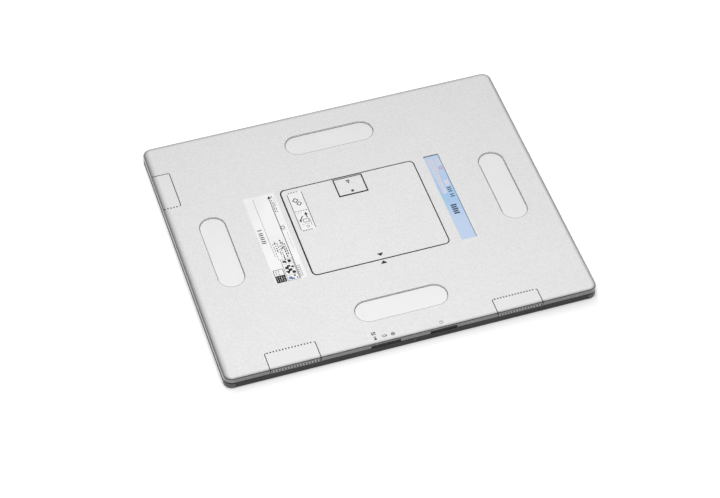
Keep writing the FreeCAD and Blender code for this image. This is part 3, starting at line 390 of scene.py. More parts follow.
def label_sheet(name, light, dark):
    """Printed polyester label under a satin laminate."""
    graph = new_graph(name)
    fibre = graph.noise(0.7, 4.0, 0.6)
    cloud = graph.noise(25.0, 2.0)
    colour = graph.blend(graph.span(cloud, 0.35, 0.65), dark, light)
    colour = graph.blend(graph.span(fibre, 0.55, 0.75, 0.0, 0.12), colour, dark)
    graph.finish(colour, graph.span(fibre, 0.3, 0.7, 0.36, 0.5), graph.relief(fibre, 0.004, 0.5),
                 Coat_Weight=0.2, Coat_Roughness=0.3)
    return graph


def blue_sheet(name):
    """The blue label, whose blue is deeper along its middle."""
    graph = new_graph(name)
    x, y, z = graph.axes()
    middle = graph.sum("SUBTRACT", 1.0, graph.span(graph.sum("ABSOLUTE", graph.sum("SUBTRACT", y, 8.0)),
                                                 6.0, 46.0, smooth=True))
    fibre = graph.noise(0.7, 4.0, 0.6)
    colour = graph.blend(middle, tone(0.5, 0.62, 0.83), tone(0.36, 0.56, 0.81))
    colour = graph.blend(graph.span(fibre, 0.4, 0.7, 0.0, 0.12), colour, tone(0.6, 0.7, 0.86))
    graph.finish(colour, graph.span(fibre, 0.3, 0.7, 0.34, 0.46), graph.relief(fibre, 0.004, 0.5),
                 Coat_Weight=0.25, Coat_Roughness=0.25)
    return graph


def ink(name, colour, worn):
    """Screen-printed ink, slightly broken at its thinnest spots."""
    graph = new_graph(name)
    speck = graph.noise(0.35, 3.0, 0.6)
    mixed = graph.blend(graph.span(speck, 0.6, 0.72, 0.0, 0.5), colour, worn)
    graph.finish(mixed, graph.span(speck, 0.3, 0.7, 0.42, 0.6), graph.relief(speck, 0.003, 0.5))
    return graph


def dark_window(name):
    """Smoked acrylic bar with three faint spots over the lamps."""
    graph = new_graph(name)
    x, y, z = graph.axes()
    spots = None
    for middle in (-46.3, -35.3, -24.4):
        reach = graph.sum("ABSOLUTE", graph.sum("SUBTRACT", x, middle))
        spot = graph.span(reach, 0.9, 2.2, 1.0, 0.0, smooth=True)
        spots = spot if spots is None else graph.sum("MAXIMUM", spots, spot)
    haze = graph.noise(0.8, 3.0)
    colour = graph.blend(graph.span(haze, 0.3, 0.7), tone(0.02, 0.022, 0.026), tone(0.03, 0.033, 0.038))
    colour = graph.blend(graph.sum("MULTIPLY", spots, 0.4), colour, tone(0.07, 0.08, 0.09))
    graph.finish(colour, graph.span(haze, 0.3, 0.7, 0.2, 0.3), graph.relief(haze, 0.004, 0.4),
                 Specular_IOR_Level=0.12)
    return graph


def clear_plastic(name, colour, roughness, ior):
    graph = new_graph(name)
    haze = graph.noise(2.0, 3.0)
    mixed = graph.blend(graph.span(haze, 0.3, 0.7), colour, tone(*[c * 0.93 for c in colour[:3]]))
    graph.finish(mixed, graph.span(haze, 0.3, 0.7, roughness, roughness + 0.08),
                 graph.relief(haze, 0.004, 0.4), Transmission_Weight=0.7, IOR=ior)
    return graph


def make_materials():
    silver_paint("cover_paint", tone(0.89), tone(0.79), 0.35, 10.1, rim=True, wear=0.15)
    silver_paint("lid_paint", tone(0.9), tone(0.81), 0.35, 14.4)
    silver_paint("latch_plastic", tone(0.89), tone(0.81), 0.25, 14.6)
    moulded("ledge_plastic", tone(0.44), tone(0.38), 0.4, (0.42, 0.52), 0.005)
    moulded("grip_plastic", tone(0.84), tone(0.8), 0.4, (0.4, 0.5), 0.005)
    radio_window("window_plastic")
    moulded("frame_paint", tone(0.075, 0.076, 0.078), tone(0.05, 0.051, 0.053), 0.5, (0.5, 0.62), 0.02,
            Specular_IOR_Level=0.15)
    moulded("guard_plastic", tone(0.17, 0.171, 0.174), tone(0.12, 0.121, 0.124), 0.6, (0.45, 0.56), 0.02,
            Specular_IOR_Level=0.25, seam_shade_above=7.9)
    moulded("seal_rubber", tone(0.006), tone(0.003), 0.4, (0.6, 0.75), 0.01, Specular_IOR_Level=0.1)
    carbon_plate("front_carbon")
    moulded("foam", tone(0.03, 0.03, 0.032), tone(0.012), 0.8, (0.85, 0.95), 0.15)
    moulded("scintillator_layer", tone(0.8, 0.8, 0.72), tone(0.72, 0.72, 0.64), 0.3, (0.6, 0.7), 0.01)
    clear_plastic("glass_plate", tone(0.62, 0.72, 0.72), 0.05, 1.5)
    brushed("shield_metal", tone(0.24, 0.245, 0.26), tone(0.16, 0.165, 0.18), rough=(0.4, 0.55))
    brushed("plate_metal", tone(0.5, 0.505, 0.52), tone(0.36, 0.365, 0.38))
    laminate("board_laminate")
    moulded("chip_plastic", tone(0.016), tone(0.008), 0.4, (0.4, 0.5), 0.01)
    film("flex_film", tone(0.5, 0.2, 0.03), tone(0.27, 0.09, 0.012), 0.8)
    brushed("can_metal", tone(0.62, 0.63, 0.64), tone(0.48, 0.49, 0.5), rough=(0.2, 0.32))
    brushed("contact_gold", tone(0.83, 0.6, 0.22), tone(0.66, 0.44, 0.14), rough=(0.18, 0.3), size=0.6)
    brushed("fastener_steel", tone(0.42, 0.42, 0.44), tone(0.26, 0.26, 0.28), size=0.5, rough=(0.25, 0.42))
    brushed("spring_steel", tone(0.5, 0.5, 0.52), tone(0.36, 0.36, 0.38), size=0.5)
    moulded("lead_jacket", tone(0.03), tone(0.015), 0.5, (0.4, 0.5), 0.01)
    moulded("bay_plastic", tone(0.022, 0.022, 0.024), tone(0.012, 0.012, 0.013), 0.5, (0.5, 0.62), 0.02)
    moulded("connector_plastic", tone(0.014), tone(0.008), 0.4, (0.35, 0.45), 0.01)
    moulded("battery_plastic", tone(0.62, 0.625, 0.63), tone(0.54, 0.545, 0.55), 0.5, (0.42, 0.54), 0.015)
    brushed("cell_pouch", tone(0.6, 0.61, 0.63), tone(0.46, 0.47, 0.49), rough=(0.3, 0.45), size=3.0)
    dark_window("window_dark")
    moulded("button_plastic", tone(0.032, 0.034, 0.039), tone(0.022, 0.024, 0.028), 0.4, (0.34, 0.44), 0.01,
            Specular_IOR_Level=0.12)
    clear_plastic("guide_clear", tone(0.85, 0.87, 0.88), 0.08, 1.49)
    moulded("led_body", tone(0.82, 0.82, 0.7), tone(0.74, 0.74, 0.62), 0.4, (0.3, 0.4), 0.005)
    moulded("sleeve_rubber", tone(0.055, 0.055, 0.058), tone(0.035), 0.5, (0.6, 0.7), 0.01)
    label_sheet("label_white", tone(0.9, 0.902, 0.905), tone(0.85, 0.852, 0.856))
    blue_sheet("label_blue")
    label_sheet("label_battery", tone(0.88, 0.885, 0.88), tone(0.83, 0.835, 0.83))
    ink("ink_black", tone(0.008), tone(0.05))
    ink("ink_grey", tone(0.04), tone(0.2))
    ink("ink_pale_grey", tone(0.36, 0.34, 0.36), tone(0.5))
    ink("ink_blue", tone(0.17, 0.26, 0.55), tone(0.36, 0.44, 0.66))
    ink("ink_navy", tone(0.03, 0.055, 0.1), tone(0.08, 0.13, 0.24))
    ink("ink_red", tone(0.72, 0.16, 0.1), tone(0.8, 0.4, 0.36))
    ink("ink_white", tone(0.84), tone(0.75))
    ink("ink_lavender", tone(0.66, 0.68, 0.78), tone(0.58, 0.61, 0.74))
    moulded("seam_compound", tone(0.006), tone(0.003), 0.4, (0.5, 0.65), 0.01, Specular_IOR_Level=0.1)


def dress_frame():
    """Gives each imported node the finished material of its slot's name."""
    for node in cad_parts.values():
        for index, old in enumerate(node.data.materials):
            name = old.name.split(".")[0]
            node.material_slots[index].material = finished[name]


# Flat shapes, as lists of faces in millimetres


def block(x_low, y_low, x_high, y_high):
    return [[(x_low, y_low), (x_high, y_low), (x_high, y_high), (x_low, y_high)]]


def circle_points(x, y, radius, count=28, start=0.0):
    turns = [start + 2 * math.pi * k / count for k in range(count)]
    return [(x + radius * math.cos(t), y + radius * math.sin(t)) for t in turns]


def disc(x, y, radius, count=28):
    return [circle_points(x, y, radius, count)]


def band(outer, inner, closed=True):
    """Faces between two rows of points with the same count."""
    steps = range(len(outer) if closed else len(outer) - 1)
    faces = []
    for k in steps:
        following = (k + 1) % len(outer)
        faces.append([inner[k], outer[k], outer[following], inner[following]])
    return faces


def ring(x, y, radius, width, count=32):
    return band(circle_points(x, y, radius, count), circle_points(x, y, radius - width, count))


def rounded_points(x_low, y_low, x_high, y_high, radius, steps=6):
    points = []
    middles = ((x_high - radius, y_high - radius, 0), (x_low + radius, y_high - radius, 1),
               (x_low + radius, y_low + radius, 2), (x_high - radius, y_low + radius, 3))
    for x, y, quarter in middles:
        for k in range(steps + 1):
            turn = (quarter + k / steps) * math.pi / 2
            points.append((x + radius * math.cos(turn), y + radius * math.sin(turn)))
    return points


def rounded_frame(x_low, y_low, x_high, y_high, radius, width, steps=6):
    outer = rounded_points(x_low, y_low, x_high, y_high, radius, steps)
    inner = rounded_points(x_low + width, y_low + width, x_high - width, y_high - width,
                           max(radius - width, 0.02), steps)
    return band(outer, inner)


def rounded_block(x_low, y_low, x_high, y_high, radius, steps=6):
    return [rounded_points(x_low, y_low, x_high, y_high, radius, steps)]


def line(start, end, width):
    along = Vector((end[0] - start[0], end[1] - start[1])).normalized()
    side = Vector((-along.y, along.x)) * width / 2
    return [[(start[0] - side.x, start[1] - side.y), (end[0] - side.x, end[1] - side.y),
             (end[0] + side.x, end[1] + side.y), (start[0] + side.x, start[1] + side.y)]]


def dashes(start, end, width, dash, pitch):
    """A dashed line from start to end."""
    run = Vector((end[0] - start[0], end[1] - start[1]))
    along = run.normalized()
    faces = []
    for k in range(int((run.length - dash) / pitch) + 1):
        first = Vector(start) + along * (k * pitch)
        faces += line(first, first + along * dash, width)
    return faces


def arrow_head(x, y, half, height):
    """A filled triangle that points along +Y, or along -Y if its height is negative."""
    tip = [(x - half, y), (x + half, y), (x, y + height)]
    return [tip if height > 0 else tip[::-1]]


def hollow_head(x, y, half, height, share=0.6):
    outer = [(x - half, y), (x + half, y), (x, y + height)]
    middle = (x, y + height / 3)
    inner = [(middle[0] + (px - middle[0]) * share, middle[1] + (py - middle[1]) * share) for px, py in outer]
    return band(outer, inner)


def word_bars(rng, x, y_start, y_end, height, coarse=1.0):
    """A row of plain bars along Y, in place of small print."""
    faces = []
    y = y_start
    while y - 0.6 > y_end:
        length = min(coarse * rng.uniform(0.8, 2.4), y - y_end)
        thick = height * rng.uniform(0.55, 1.0)
        faces += block(x - thick / 2, y - length, x + thick / 2, y)
        y -= length + coarse * rng.choice((0.5, 0.8, 1.6))
    return faces


# Thin pieces from flat shapes


def link(obj, material, body):
    bpy.context.scene.collection.objects.link(obj)
    obj.data.materials.append(finished[material])
    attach(obj, body)
    return obj


def flat_piece(name, faces, low, high, material, body):
    """A thin closed piece over the faces, from one level to another in millimetres."""
    mesh = bmesh.new()
    for face in faces:
        mesh.faces.new([mesh.verts.new((x * MM, y * MM, low * MM)) for x, y in face])
    bmesh.ops.remove_doubles(mesh, verts=mesh.verts, dist=1e-6)
    bmesh.ops.recalc_face_normals(mesh, faces=mesh.faces)
    grown = bmesh.ops.extrude_face_region(mesh, geom=list(mesh.faces), use_keep_orig=True)
    raised = [item for item in grown["geom"] if isinstance(item, bmesh.types.BMVert)]
    bmesh.ops.translate(mesh, verts=raised, vec=(0.0, 0.0, (high - low) * MM))
    bmesh.ops.recalc_face_normals(mesh, faces=mesh.faces)
    data = bpy.data.meshes.new(name)
    mesh.to_mesh(data)
    mesh.free()
    return link(bpy.data.objects.new(name, data), material, body)


def sheet_piece(name, box, radius, low, high, material, body):
    """A label: a rounded sheet whose upper edge is eased."""
    piece = flat_piece(name, rounded_block(*box, radius, 8), low, high, material, body)
    ease = piece.modifiers.new("eased edge", "BEVEL")
    ease.width = 0.02 * MM
    ease.segments = 2
    return piece


# Prints and seams

COVER_TOP = 15.9
PRINT_FOOT = 0.03
PRINT_RISE = 0.015


def cover_print(name, faces, material, body="case"):
    return flat_piece(name, faces, COVER_TOP - PRINT_FOOT, COVER_TOP + PRINT_RISE, material, body)


def arc_band(x, y, radius, width, first, last, steps=7):
    """A strip along an arc, between two angles in degrees."""
    outer = []
    inner = []
    for k in range(steps):
        turn = math.radians(first + (last - first) * k / (steps - 1))
        outer.append((x + (radius + width / 2) * math.cos(turn), y + (radius + width / 2) * math.sin(turn)))
        inner.append((x + (radius - width / 2) * math.cos(turn), y + (radius - width / 2) * math.sin(turn)))
    return band(outer, inner, closed=False)


def rim_seam(name, x, width):
    """The part of a seam that goes down over the rounded near rim."""
    mesh = bmesh.new()
    rows = []
    for k in range(13):
        turn = math.radians(82 * k / 12)
        row = []
        for reach in (1.97, 2.012):
            for side in (-width / 2, width / 2):
                row.append(mesh.verts.new(((x + side) * MM, (-190.0 - reach * math.sin(turn)) * MM,
                                           (13.9 + reach * math.cos(turn)) * MM)))
        rows.append(row)
    for first, second in zip(rows, rows[1:]):
        for a, b in ((0, 1), (1, 3), (3, 2), (2, 0)):
            mesh.faces.new((first[a], first[b], second[b], second[a]))
    for row in (rows[0], rows[-1]):
        mesh.faces.new((row[0], row[1], row[3], row[2]))
    bmesh.ops.recalc_face_normals(mesh, faces=mesh.faces)
    data = bpy.data.meshes.new(name)
    mesh.to_mesh(data)
    mesh.free()
    link(bpy.data.objects.new(name, data), "seam_compound", "case")


def dotted(start, end, name):
    """A pale filled seam with a row of dark dots along it."""
    length = math.dist(start, end)
    pitch = length / round(length / 3.75)
    cover_print("seam_filler_" + name, line(start, end, 1.1), "ink_white")
    flat_piece("seam_dots_" + name, dashes(start, end, 1.9, 1.7, pitch), 15.9, 15.925,
               "seam_compound", "case")


def window_seams():
    """Dark compound in the seams of the radio windows, dotted along one side of each."""
    width = 1.0
    corner = 2.0
    for name, x_low, x_high, top in (("near_left", -175.9, -114.4, -166.4),
                                     ("near_right", 103.1, 159.7, -170.2)):
        faces = line((x_low, -190.0), (x_low, top - corner), width)
        faces += line((x_high, -190.0), (x_high, top - corner), width)
        faces += arc_band(x_low + corner, top - corner, corner, width, 180, 90)
        faces += arc_band(x_high - corner, top - corner, corner, width, 0, 90)
        cover_print("window_seam_" + name, faces, "seam_compound")
        dotted((x_low + corner + 0.8, top), (x_high - corner - 0.3, top), name)
        rim_seam("rim_seam_" + name + "_low", x_low, width)
        rim_seam("rim_seam_" + name + "_high", x_high, width)
    x_high = -206.9
    y_low, y_high = 87.0, 143.9
    faces = line((x_high, y_low + corner), (x_high, y_high - corner), width)
    faces += line((-228.2, y_high), (x_high - corner, y_high), width)
    faces += arc_band(x_high - corner, y_high - corner, corner, width, 90, 0)
    faces += arc_band(x_high - corner, y_low + corner, corner, width, 270, 360)
    cover_print("window_seam_left", faces, "seam_compound")
    dotted((-228.0, y_low), (x_high - corner - 0.3, y_low), "left")


def grip_seams():
    """Dark lines of compound round each grip: at its brim and where its floor meets its wall, and a strip of painted
    shade along one wall of the right grip.
    """
    length, width = 114.0, 32.0
    for name, x, y, upright in (("left", -179.6, 0.0, True), ("right", 179.6, 0.0, True),
                                ("near", 0.0, -141.6, False), ("far", 0.0, 141.6, False)):
        half_x, half_y = (width / 2, length / 2) if upright else (length / 2, width / 2)
        for part, reach, thick, low, high in (("floor", -0.02, 0.4, 14.28, 14.34),
                                              ("brim", 0.6, 0.38, 15.87, 15.912)):
            faces = rounded_frame(x - half_x - reach, y - half_y - reach, x + half_x + reach,
                                  y + half_y + reach, width / 2 + reach, thick, 20)
            flat_piece("grip_" + part + "_seam_" + name, faces, low, high,
                       "seam_compound" if part == "floor" else "ink_grey", "case")
    # painted shade: a dark strip along the left wall of the right grip
    flat_piece("grip_shade_right", line((164.45, -41.0), (164.45, 41.0), 0.34), 14.28, 14.34,
               "seam_compound", "case")


def bay_brim():
    """Painted shade: a dark line on the cover along the left and near sides of the battery opening, where its gap lies
    in shade.
    """
    left, near, far, radius = -86.25, -70.4, 73.6, 6.7
    # painted shade along the opening's gap
    faces = line((left - 0.35, near + radius), (left - 0.35, far - radius), 0.7)
    faces += arc_band(left + radius, far - radius, radius + 0.2, 0.4, 180, 90)
    faces += arc_band(left + radius, near + radius, radius + 0.3, 0.6, 180, 270)
    faces += line((left + radius, near - 0.25), (80.0, near - 0.25), 0.5)
    cover_print("bay_brim", faces, "seam_compound")


def white_label():
    rng = random.Random(7)
    box = (-132.55, -69.3, -93.15, 73.3)
    low, top = 15.9, 15.96
    sheet = sheet_piece("white_label_sheet", box, 1.0, low, top, "label_white", "case")
    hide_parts("white_label")
    black = line((-101.6, -68.0), (-101.6, 66.0), 0.85)
    black += arrow_head(-101.0, 65.0, 2.4, 4.8)
    black += disc(-98.0, 67.4, 0.9)
    for y in (18.4, 13.3, 10.3, 6.7, 3.7, 0.1, -2.9):
        black += block(-130.0, y - 0.7, -124.8, y + 0.7)
    black += rounded_block(-130.6, -68.8, -118.0, -58.2, 0.6)
    black += rounded_frame(-130.6, -58.4, -118.0, -48.0, 0.6, 0.7)
    black += rounded_frame(-117.0, -69.0, -102.6, -34.0, 0.8, 0.5)
    for k in range(1, 4):
        black += line((-116.8, -34.0 - 8.7 * k), (-102.8, -34.0 - 8.7 * k), 0.35)
    black += disc(-113.6, -38.2, 1.8) + block(-108.8, -40.8, -105.0, -36.2) + block(-112.2, -41.2, -110.6, -37.6)
    black += block(-114.8, -50.4, -110.6, -46.6) + block(-112.0, -47.8, -108.0, -44.8)
    black += disc(-105.6, -48.2, 1.7) + block(-111.8, -54.4, -107.2, -50.6)
    black += arrow_head(-112.6, -53.4, 3.2, -5.2) + disc(-106.2, -56.8, 2.3)
    black += disc(-107.0, -62.4, 1.3) + disc(-104.8, -66.0, 1.0) + disc(-109.0, -66.6, 1.0)
    for x in (-99.9, -97.8):
        black += dashes((x, -48.0), (x, -67.0), 1.1, 1.5, 3.2)
    for x, y_start, y_end in ((-110.6, -12.0, -37.0), (-106.6, -7.0, -32.0)):
        black += word_bars(rng, x, y_start, y_end, 1.9, 1.5)
    flat_piece("white_label_print", black, top - 0.01, top + 0.015, "ink_black", "case")
    grey = dashes((-121.0, 70.0), (-121.0, -30.0), 0.5, 1.6, 2.2)
    for x, y_start, y_end, height in ((-99.6, 62.0, 41.5, 1.7), (-97.4, 58.0, 40.5, 1.1),
                                      (-95.8, 66.0, 52.0, 0.5),
                                      (-127.4, -50.0, -57.0, 1.0), (-124.2, -50.0, -57.0, 1.3)):
        grey += word_bars(rng, x, y_start, y_end, height)
    for x, y_start, y_end, height in ((-118.4, -7.0, -34.0, 1.0), (-115.6, -4.0, -22.0, 1.8),
                                      (-113.0, -7.0, -30.0, 1.2), (-108.6, -3.0, -20.0, 1.6),
                                      (-104.4, -10.0, -30.0, 1.3)):
        grey += word_bars(rng, x, y_start, y_end, height, 1.5)
    grey += ring(-98.9, 15.0, 2.2, 0.6) + rounded_frame(-101.0, 11.0, -96.6, 19.0, 0.8, 0.35)
    grey += dashes((-96.0, 6.0), (-96.0, -20.0), 0.35, 1.6, 2.4)
    flat_piece("white_label_small_print", grey, top - 0.01, top + 0.012, "ink_grey", "case")
    pale = []
    for y_start, y_end in ((-59.6, -67.4),):
        for x in (-128.6, -125.8, -123.2, -120.6):
            pale += word_bars(rng, x, y_start, y_end, 0.7)
    flat_piece("white_label_knockout", pale, top + 0.01, top + 0.025, "ink_white", "case")
    flat_piece("white_label_blue_mark", disc(-113.0, -64.8, 2.4) + block(-112.0, -67.4, -109.6, -65.0),
               top - 0.01, top + 0.016, "ink_blue", "case")


def battery_label():
    box = (-79.4, 1.4, -59.7, 66.7)
    low, top = 15.9, 15.96
    sheet = sheet_piece("battery_label_sheet", box, 1.0, low, top, "label_battery", "battery")
    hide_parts("battery_label")
    x_low, y_low, x_high, y_high = -78.7, 2.1, -60.4, 66.0
    width = 0.8
    dark = dashes((x_low + 1.4, y_high), (x_high - 1.2, y_high), 1.0, 2.1, 3.4)
    dark += dashes((x_low + 1.4, y_low), (x_high - 1.2, y_low), 1.2, 2.1, 3.4)
    dark += dashes((x_low + 1.0, 34.2), (x_high - 1.0, 34.2), 1.0, 2.1, 3.4)
    dark += line((x_high, y_low + 1.0), (x_high, y_high - 1.0), width)
    dark += line((x_low, y_low + 1.0), (x_low, y_high - 1.0), width)
    for x, y, half in ((-71.6, 52.6, 4.2), (-68.4, 46.4, 3.8)):
        dark += band(circle_points(x, y, half, 4), circle_points(x, y, half - 1.5, 4))
    dark += arrow_head(-65.6, 26.4, 2.3, 4.8) + line((-65.6, 21.6), (-65.6, 26.6), 1.2)
    dark += arrow_head(-75.0, 19.6, 1.8, -4.0) + line((-75.0, 19.4), (-70.6, 25.6), 1.2)
    flat_piece("battery_label_print", dark, top - 0.01, top + 0.015, "ink_black", "battery")
    grey = rounded_frame(-72.2, 14.6, -64.6, 20.4, 0.8, 0.7)
    grey += dashes((-76.0, 30.8), (-68.4, 30.8), 0.6, 0.9, 1.7) + dashes((-75.0, 12.0), (-64.0, 12.0), 0.6, 0.9, 1.7)
    grey += line((-63.6, 20.0), (-63.6, 8.0), 0.5) + ring(-68.6, 7.6, 1.9, 0.6)
    flat_piece("battery_label_small_print", grey, top - 0.01, top + 0.012, "ink_grey", "battery")


def blue_label():
    rng = random.Random(11)
    low, high = 15.39, 15.415
    pale = rounded_block(105.0, 8.0, 110.4, 68.0, 1.6) + rounded_block(114.0, 56.0, 118.6, 67.0, 0.5)
    pale += rounded_block(112.4, 20.0, 118.2, 30.0, 0.5)
    flat_piece("blue_label_panels", pale, low, high, "ink_lavender", "case")
    small = word_bars(rng, 107.0, 66.0, 12.0, 0.55) + word_bars(rng, 108.7, 63.0, 26.0, 0.5)
    small += word_bars(rng, 116.2, 66.0, 57.0, 0.6)
    flat_piece("blue_label_small_print", small, low, high + 0.012, "ink_pale_grey", "case")
    flat_piece("blue_label_ring", ring(116.4, 50.6, 2.4, 1.0), low, high + 0.01, "ink_red", "case")
    dark = []
    for y in (16.4, 13.2, 10.0, 4.6, 1.4):
        dark += block(112.4, y - 0.8, 117.4, y + 0.8)
    for index, y in enumerate((-12.8, -16.2, -19.6, -23.0, -26.4)):
        dark += block(107.0, y - 1.2, 114.6 - 0.9 * (index % 2), y + 1.1)
    flat_piece("blue_label_print", dark, low, high + 0.01, "ink_navy", "case")
    # painted shade: a dark line along the right and far walls of the label's recess
    wall_shade = line((120.35, -69.0), (120.35, 74.2), 0.5) + line((101.4, 73.7), (120.6, 73.7), 1.1)
    flat_piece("blue_label_gap", wall_shade, low, high + 0.012, "seam_compound", "case")


def cover_marks():
    """The arrows that line the pack up, and the signs beside the lamps and the button."""
    cover_print("case_arrow", arrow_head(0.3, -77.2, 4.1, 5.0), "ink_black")
    cover_print("battery_arrow", arrow_head(0.3, -60.0, 4.1, -5.0), "ink_black", "battery")
    signs = rounded_frame(-48.8, -178.4, -43.8, -174.2, 0.5, 0.8) + line((-48.0, -177.6), (-44.6, -175.0), 0.8)
    signs += arrow_head(-46.1, -186.0, 2.2, 4.0) + block(-48.0, -182.0, -44.6, -181.0)
    signs += rounded_frame(-37.4, -184.8, -32.8, -181.4, 0.5, 0.7) + block(-32.8, -183.9, -31.8, -182.3)
    signs += ring(-24.4, -183.3, 2.4, 0.9) + disc(-24.4, -183.3, 1.0)
    cover_print("lamp_signs", signs, "ink_grey")
    arc = []
    inner = []
    for k in range(21):
        turn = math.radians(120 + 300 * k / 20)
        arc.append((35.0 + 2.3 * math.cos(turn), -184.0 + 2.3 * math.sin(turn)))
        inner.append((35.0 + 1.75 * math.cos(turn), -184.0 + 1.75 * math.sin(turn)))
    power = band(arc, inner, closed=False) + block(34.7, -184.2, 35.3, -181.4)
    cover_print("button_sign", power, "ink_grey")
    flat_piece("latch_mark", hollow_head(-0.25, 66.2, 2.7, -6.4, 0.35), 15.78, 15.812, "ink_grey", "latch")
    flat_piece("latch_brim", line((-19.8, 69.85), (20.8, 69.85), 0.5), 15.78, 15.812, "ink_grey", "latch")
    flat_piece("latch_dot", disc(0.5, 46.6, 2.2), 15.19, 15.225, "ink_black", "latch")
    flat_piece("latch_ledge", rounded_block(-20.2, 70.9, 21.2, 72.4, 0.3), 15.3, 15.6, "ledge_plastic",
               "latch")


def flexed(node):
    """A springy piece's mesh, copied in place of its rigid CAD node, which is hidden."""
    piece = bpy.data.objects.new(node + "_flexed", bpy.data.objects[node].data.copy())
    bpy.context.scene.collection.objects.link(piece)
    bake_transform(piece)
    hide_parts(node)


def index_mark():
    """A small pale mark on the middle of the near side of the frame."""
    mesh = bmesh.new()
    points = rounded_points(-0.7, 4.2, 0.7, 7.2, 0.3, 4)
    face = mesh.faces.new([mesh.verts.new((x * MM, -191.68 * MM, z * MM)) for x, z in points])
    grown = bmesh.ops.extrude_face_region(mesh, geom=[face], use_keep_orig=True)
    raised = [item for item in grown["geom"] if isinstance(item, bmesh.types.BMVert)]
    bmesh.ops.translate(mesh, verts=raised, vec=(0.0, -0.05 * MM, 0.0))
    bmesh.ops.recalc_face_normals(mesh, faces=mesh.faces)
    data = bpy.data.meshes.new("index_mark")
    mesh.to_mesh(data)
    mesh.free()
    link(bpy.data.objects.new("index_mark", data), "guard_plastic", "case")


# Studio


def seen_directly(graph):
    """1 for rays that show the background: from the camera, off gloss and through glass."""
    rays = graph.add("ShaderNodeLightPath")
    straight = graph.sum("MAXIMUM", rays.outputs["Is Camera Ray"], rays.outputs["Is Transmission Ray"])
    return straight, rays.outputs["Is Glossy Ray"]


def make_floor():
    size = 4.0
    mesh = bmesh.new()
    bmesh.ops.create_grid(mesh, x_segments=2, y_segments=2, size=size)
    data = bpy.data.meshes.new("floor")
    mesh.to_mesh(data)
    mesh.free()
    floor = bpy.data.objects.new("floor", data)
    floor.location = (0.0, 0.0, -0.0003)
    bpy.context.scene.collection.objects.link(floor)
    material = bpy.data.materials.new("floor")
    graph = Graph(material)
    straight, glossy = seen_directly(graph)
    diffuse = graph.add("ShaderNodeBsdfDiffuse", Color=tone(0.8))
    lift = graph.add("ShaderNodeEmission", Color=tone(1.0))
    shown = graph.sum("MAXIMUM", straight, glossy)
    far = graph.add("ShaderNodeVectorMath", {"operation": "DISTANCE"})
    graph.put(far.inputs[0], graph.where())
    graph.put(far.inputs[1], (0.0, -0.25, 0.0))
    # painted shadow: the floor's added light is lower near the panel, most of all in front of its near side
    level = graph.span(far.outputs["Value"], FLOOR_NEAR[0], FLOOR_FAR[0], FLOOR_NEAR[1], FLOOR_FAR[1])
    # painted shadow along the panel's outline: the added light rises with the distance out from it
    beside = graph.sum("MULTIPLY", edge_distance(graph), -0.001)
    outline_painted_shadow = graph.sum("ADD", graph.span(beside, 0.0, 0.016, 0.2, 0.29), graph.span(beside, 0.016, 0.25, 0.0, 0.3))
    level = graph.sum("MAXIMUM", level, outline_painted_shadow)
    # painted light beyond the left and right ends, which takes the shadow away there
    side_painted_light = graph.span(graph.sum("ABSOLUTE", graph.axes()[0]), HALF_LENGTH - 2.0, HALF_LENGTH + 4.0, 0.0, 0.22)
    level = graph.sum("ADD", level, side_painted_light)
    level = graph.sum("ADD", level, graph.span(far.outputs["Value"], FLOOR_FAR[0], 2.0, 0.0, 0.6))
    graph.put(lift.inputs["Strength"], graph.sum("MULTIPLY", shown, level))
    both = graph.add("ShaderNodeAddShader")
    graph.tree.links.new(diffuse.outputs[0], both.inputs[0])
    graph.tree.links.new(lift.outputs[0], both.inputs[1])
    output = graph.add("ShaderNodeOutputMaterial")
    graph.tree.links.new(both.outputs[0], output.inputs["Surface"])
    data.materials.append(material)


# Distance from the panel's near side in metres, and the backdrop light that the floor adds there, lower near the panel
# as painted shadow
FLOOR_NEAR = (0.15, 0.17)
FLOOR_FAR = (0.5, 0.45)


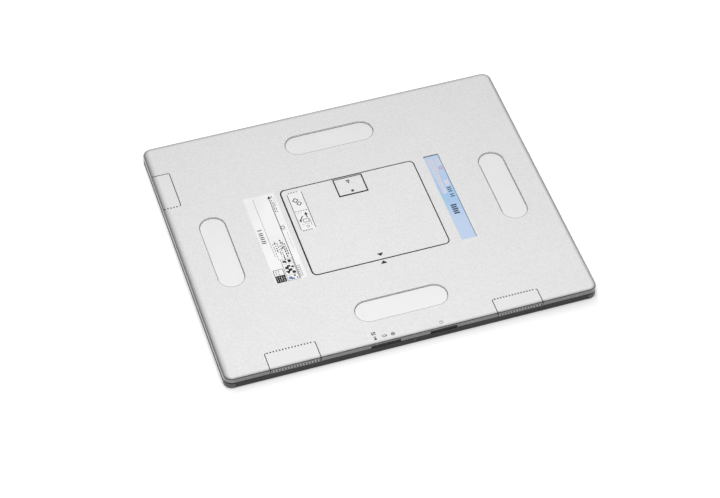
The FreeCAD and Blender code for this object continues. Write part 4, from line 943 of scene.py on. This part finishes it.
def make_world():
    """Studio room: bright behind and above, darker towards the viewer's side."""
    world = bpy.data.worlds.new("studio")
    bpy.context.scene.world = world
    graph = Graph(world)
    direction = graph.add("ShaderNodeTexCoord").outputs["Generated"]
    split = graph.add("ShaderNodeSeparateXYZ", Vector=direction)
    x, y, z = split.outputs["X"], split.outputs["Y"], split.outputs["Z"]
    front = graph.sum("ADD", graph.sum("MULTIPLY", x, -0.313), graph.sum("MULTIPLY", y, -0.95))
    straight, glossy = seen_directly(graph)
    soft = graph.span(front, -0.4, 0.4, 0.64, 0.24, smooth=True)
    sharp = graph.sum("MULTIPLY", graph.span(front, -0.45, 0.0, 1.0, 0.4, smooth=True),
                      graph.span(z, 0.55, 0.85, 0.7, 1.3))
    right = graph.sum("MULTIPLY", graph.span(x, 0.25, 0.65, 0.0, 0.75), graph.span(z, 0.45, 0.85, 1.0, 0.0))
    left = graph.sum("MULTIPLY", graph.span(x, 0.15, -0.2, 0.0, 0.6), graph.span(z, 0.0, 0.3, 0.5, 1.0))
    flags = graph.sum("MULTIPLY", graph.sum("ADD", right, left), graph.span(front, -0.4, -0.6))
    sharp = graph.sum("MULTIPLY", sharp, graph.sum("SUBTRACT", 1.0, flags))
    level = graph.add("ShaderNodeMix", {"data_type": "FLOAT"})
    graph.put(level.inputs[0], glossy)
    graph.put(level.inputs[2], soft)
    graph.put(level.inputs[3], sharp)
    strength = graph.sum("MAXIMUM", level.outputs[0], straight)
    background = graph.add("ShaderNodeBackground", Color=tone(1.0), Strength=strength)
    output = graph.add("ShaderNodeOutputWorld")
    graph.tree.links.new(background.outputs[0], output.inputs["Surface"])


def aim(obj, target):
    back = obj.location - Vector(target)
    obj.rotation_mode = "QUATERNION"
    obj.rotation_quaternion = back.to_track_quat("Z", "Y")


def make_lamp(name, place, target, size, power):
    data = bpy.data.lights.new(name, "AREA")
    data.shape = "RECTANGLE"
    data.size, data.size_y = size
    data.energy = power
    lamp = bpy.data.objects.new(name, data)
    lamp.location = place
    lamp.visible_glossy = False
    lamp.visible_camera = False
    bpy.context.scene.collection.objects.link(lamp)
    aim(lamp, target)


def make_camera():
    """The photograph's viewpoint, solved from the panel's outline."""
    data = bpy.data.cameras.new("camera")
    data.sensor_width = 36.0
    data.lens = 116.69
    data.clip_start = 0.05
    data.clip_end = 60.0
    camera = bpy.data.objects.new("camera", data)
    right = Vector((0.95112967, -0.3087687, 0.00377416))
    ahead = Vector((0.20623728, 0.62610081, -0.75197338))
    up = right.cross(ahead)
    turn = Matrix((right, up, -ahead)).transposed().to_4x4()
    camera.matrix_world = Matrix.Translation((-0.59918797, -1.80361202, 2.1260902)) @ turn
    bpy.context.scene.collection.objects.link(camera)
    bpy.context.scene.camera = camera


make_materials()
finished = {material.name: material for material in bpy.data.materials if material.use_nodes}
for material in list(bpy.data.materials):
    base = material.name.split(".")[0]
    if "." in material.name:
        finished[base] = material
dress_frame()
window_seams()
grip_seams()
bay_brim()
white_label()
battery_label()
blue_label()
cover_marks()
index_mark()
flexed("latch_spring")
flexed("return_sleeve")
make_floor()
make_world()
make_lamp("back", (0.0, 0.9, 1.9), (0.0, 0.0, 0.0), (2.6, 1.2), 3.0)
make_lamp("overhead", (-0.12, -0.3, 0.95), (-0.02, -0.1, 0.0), (0.6, 0.5), 6.0)
make_camera()
bpy.context.scene.view_settings.view_transform = "Standard"
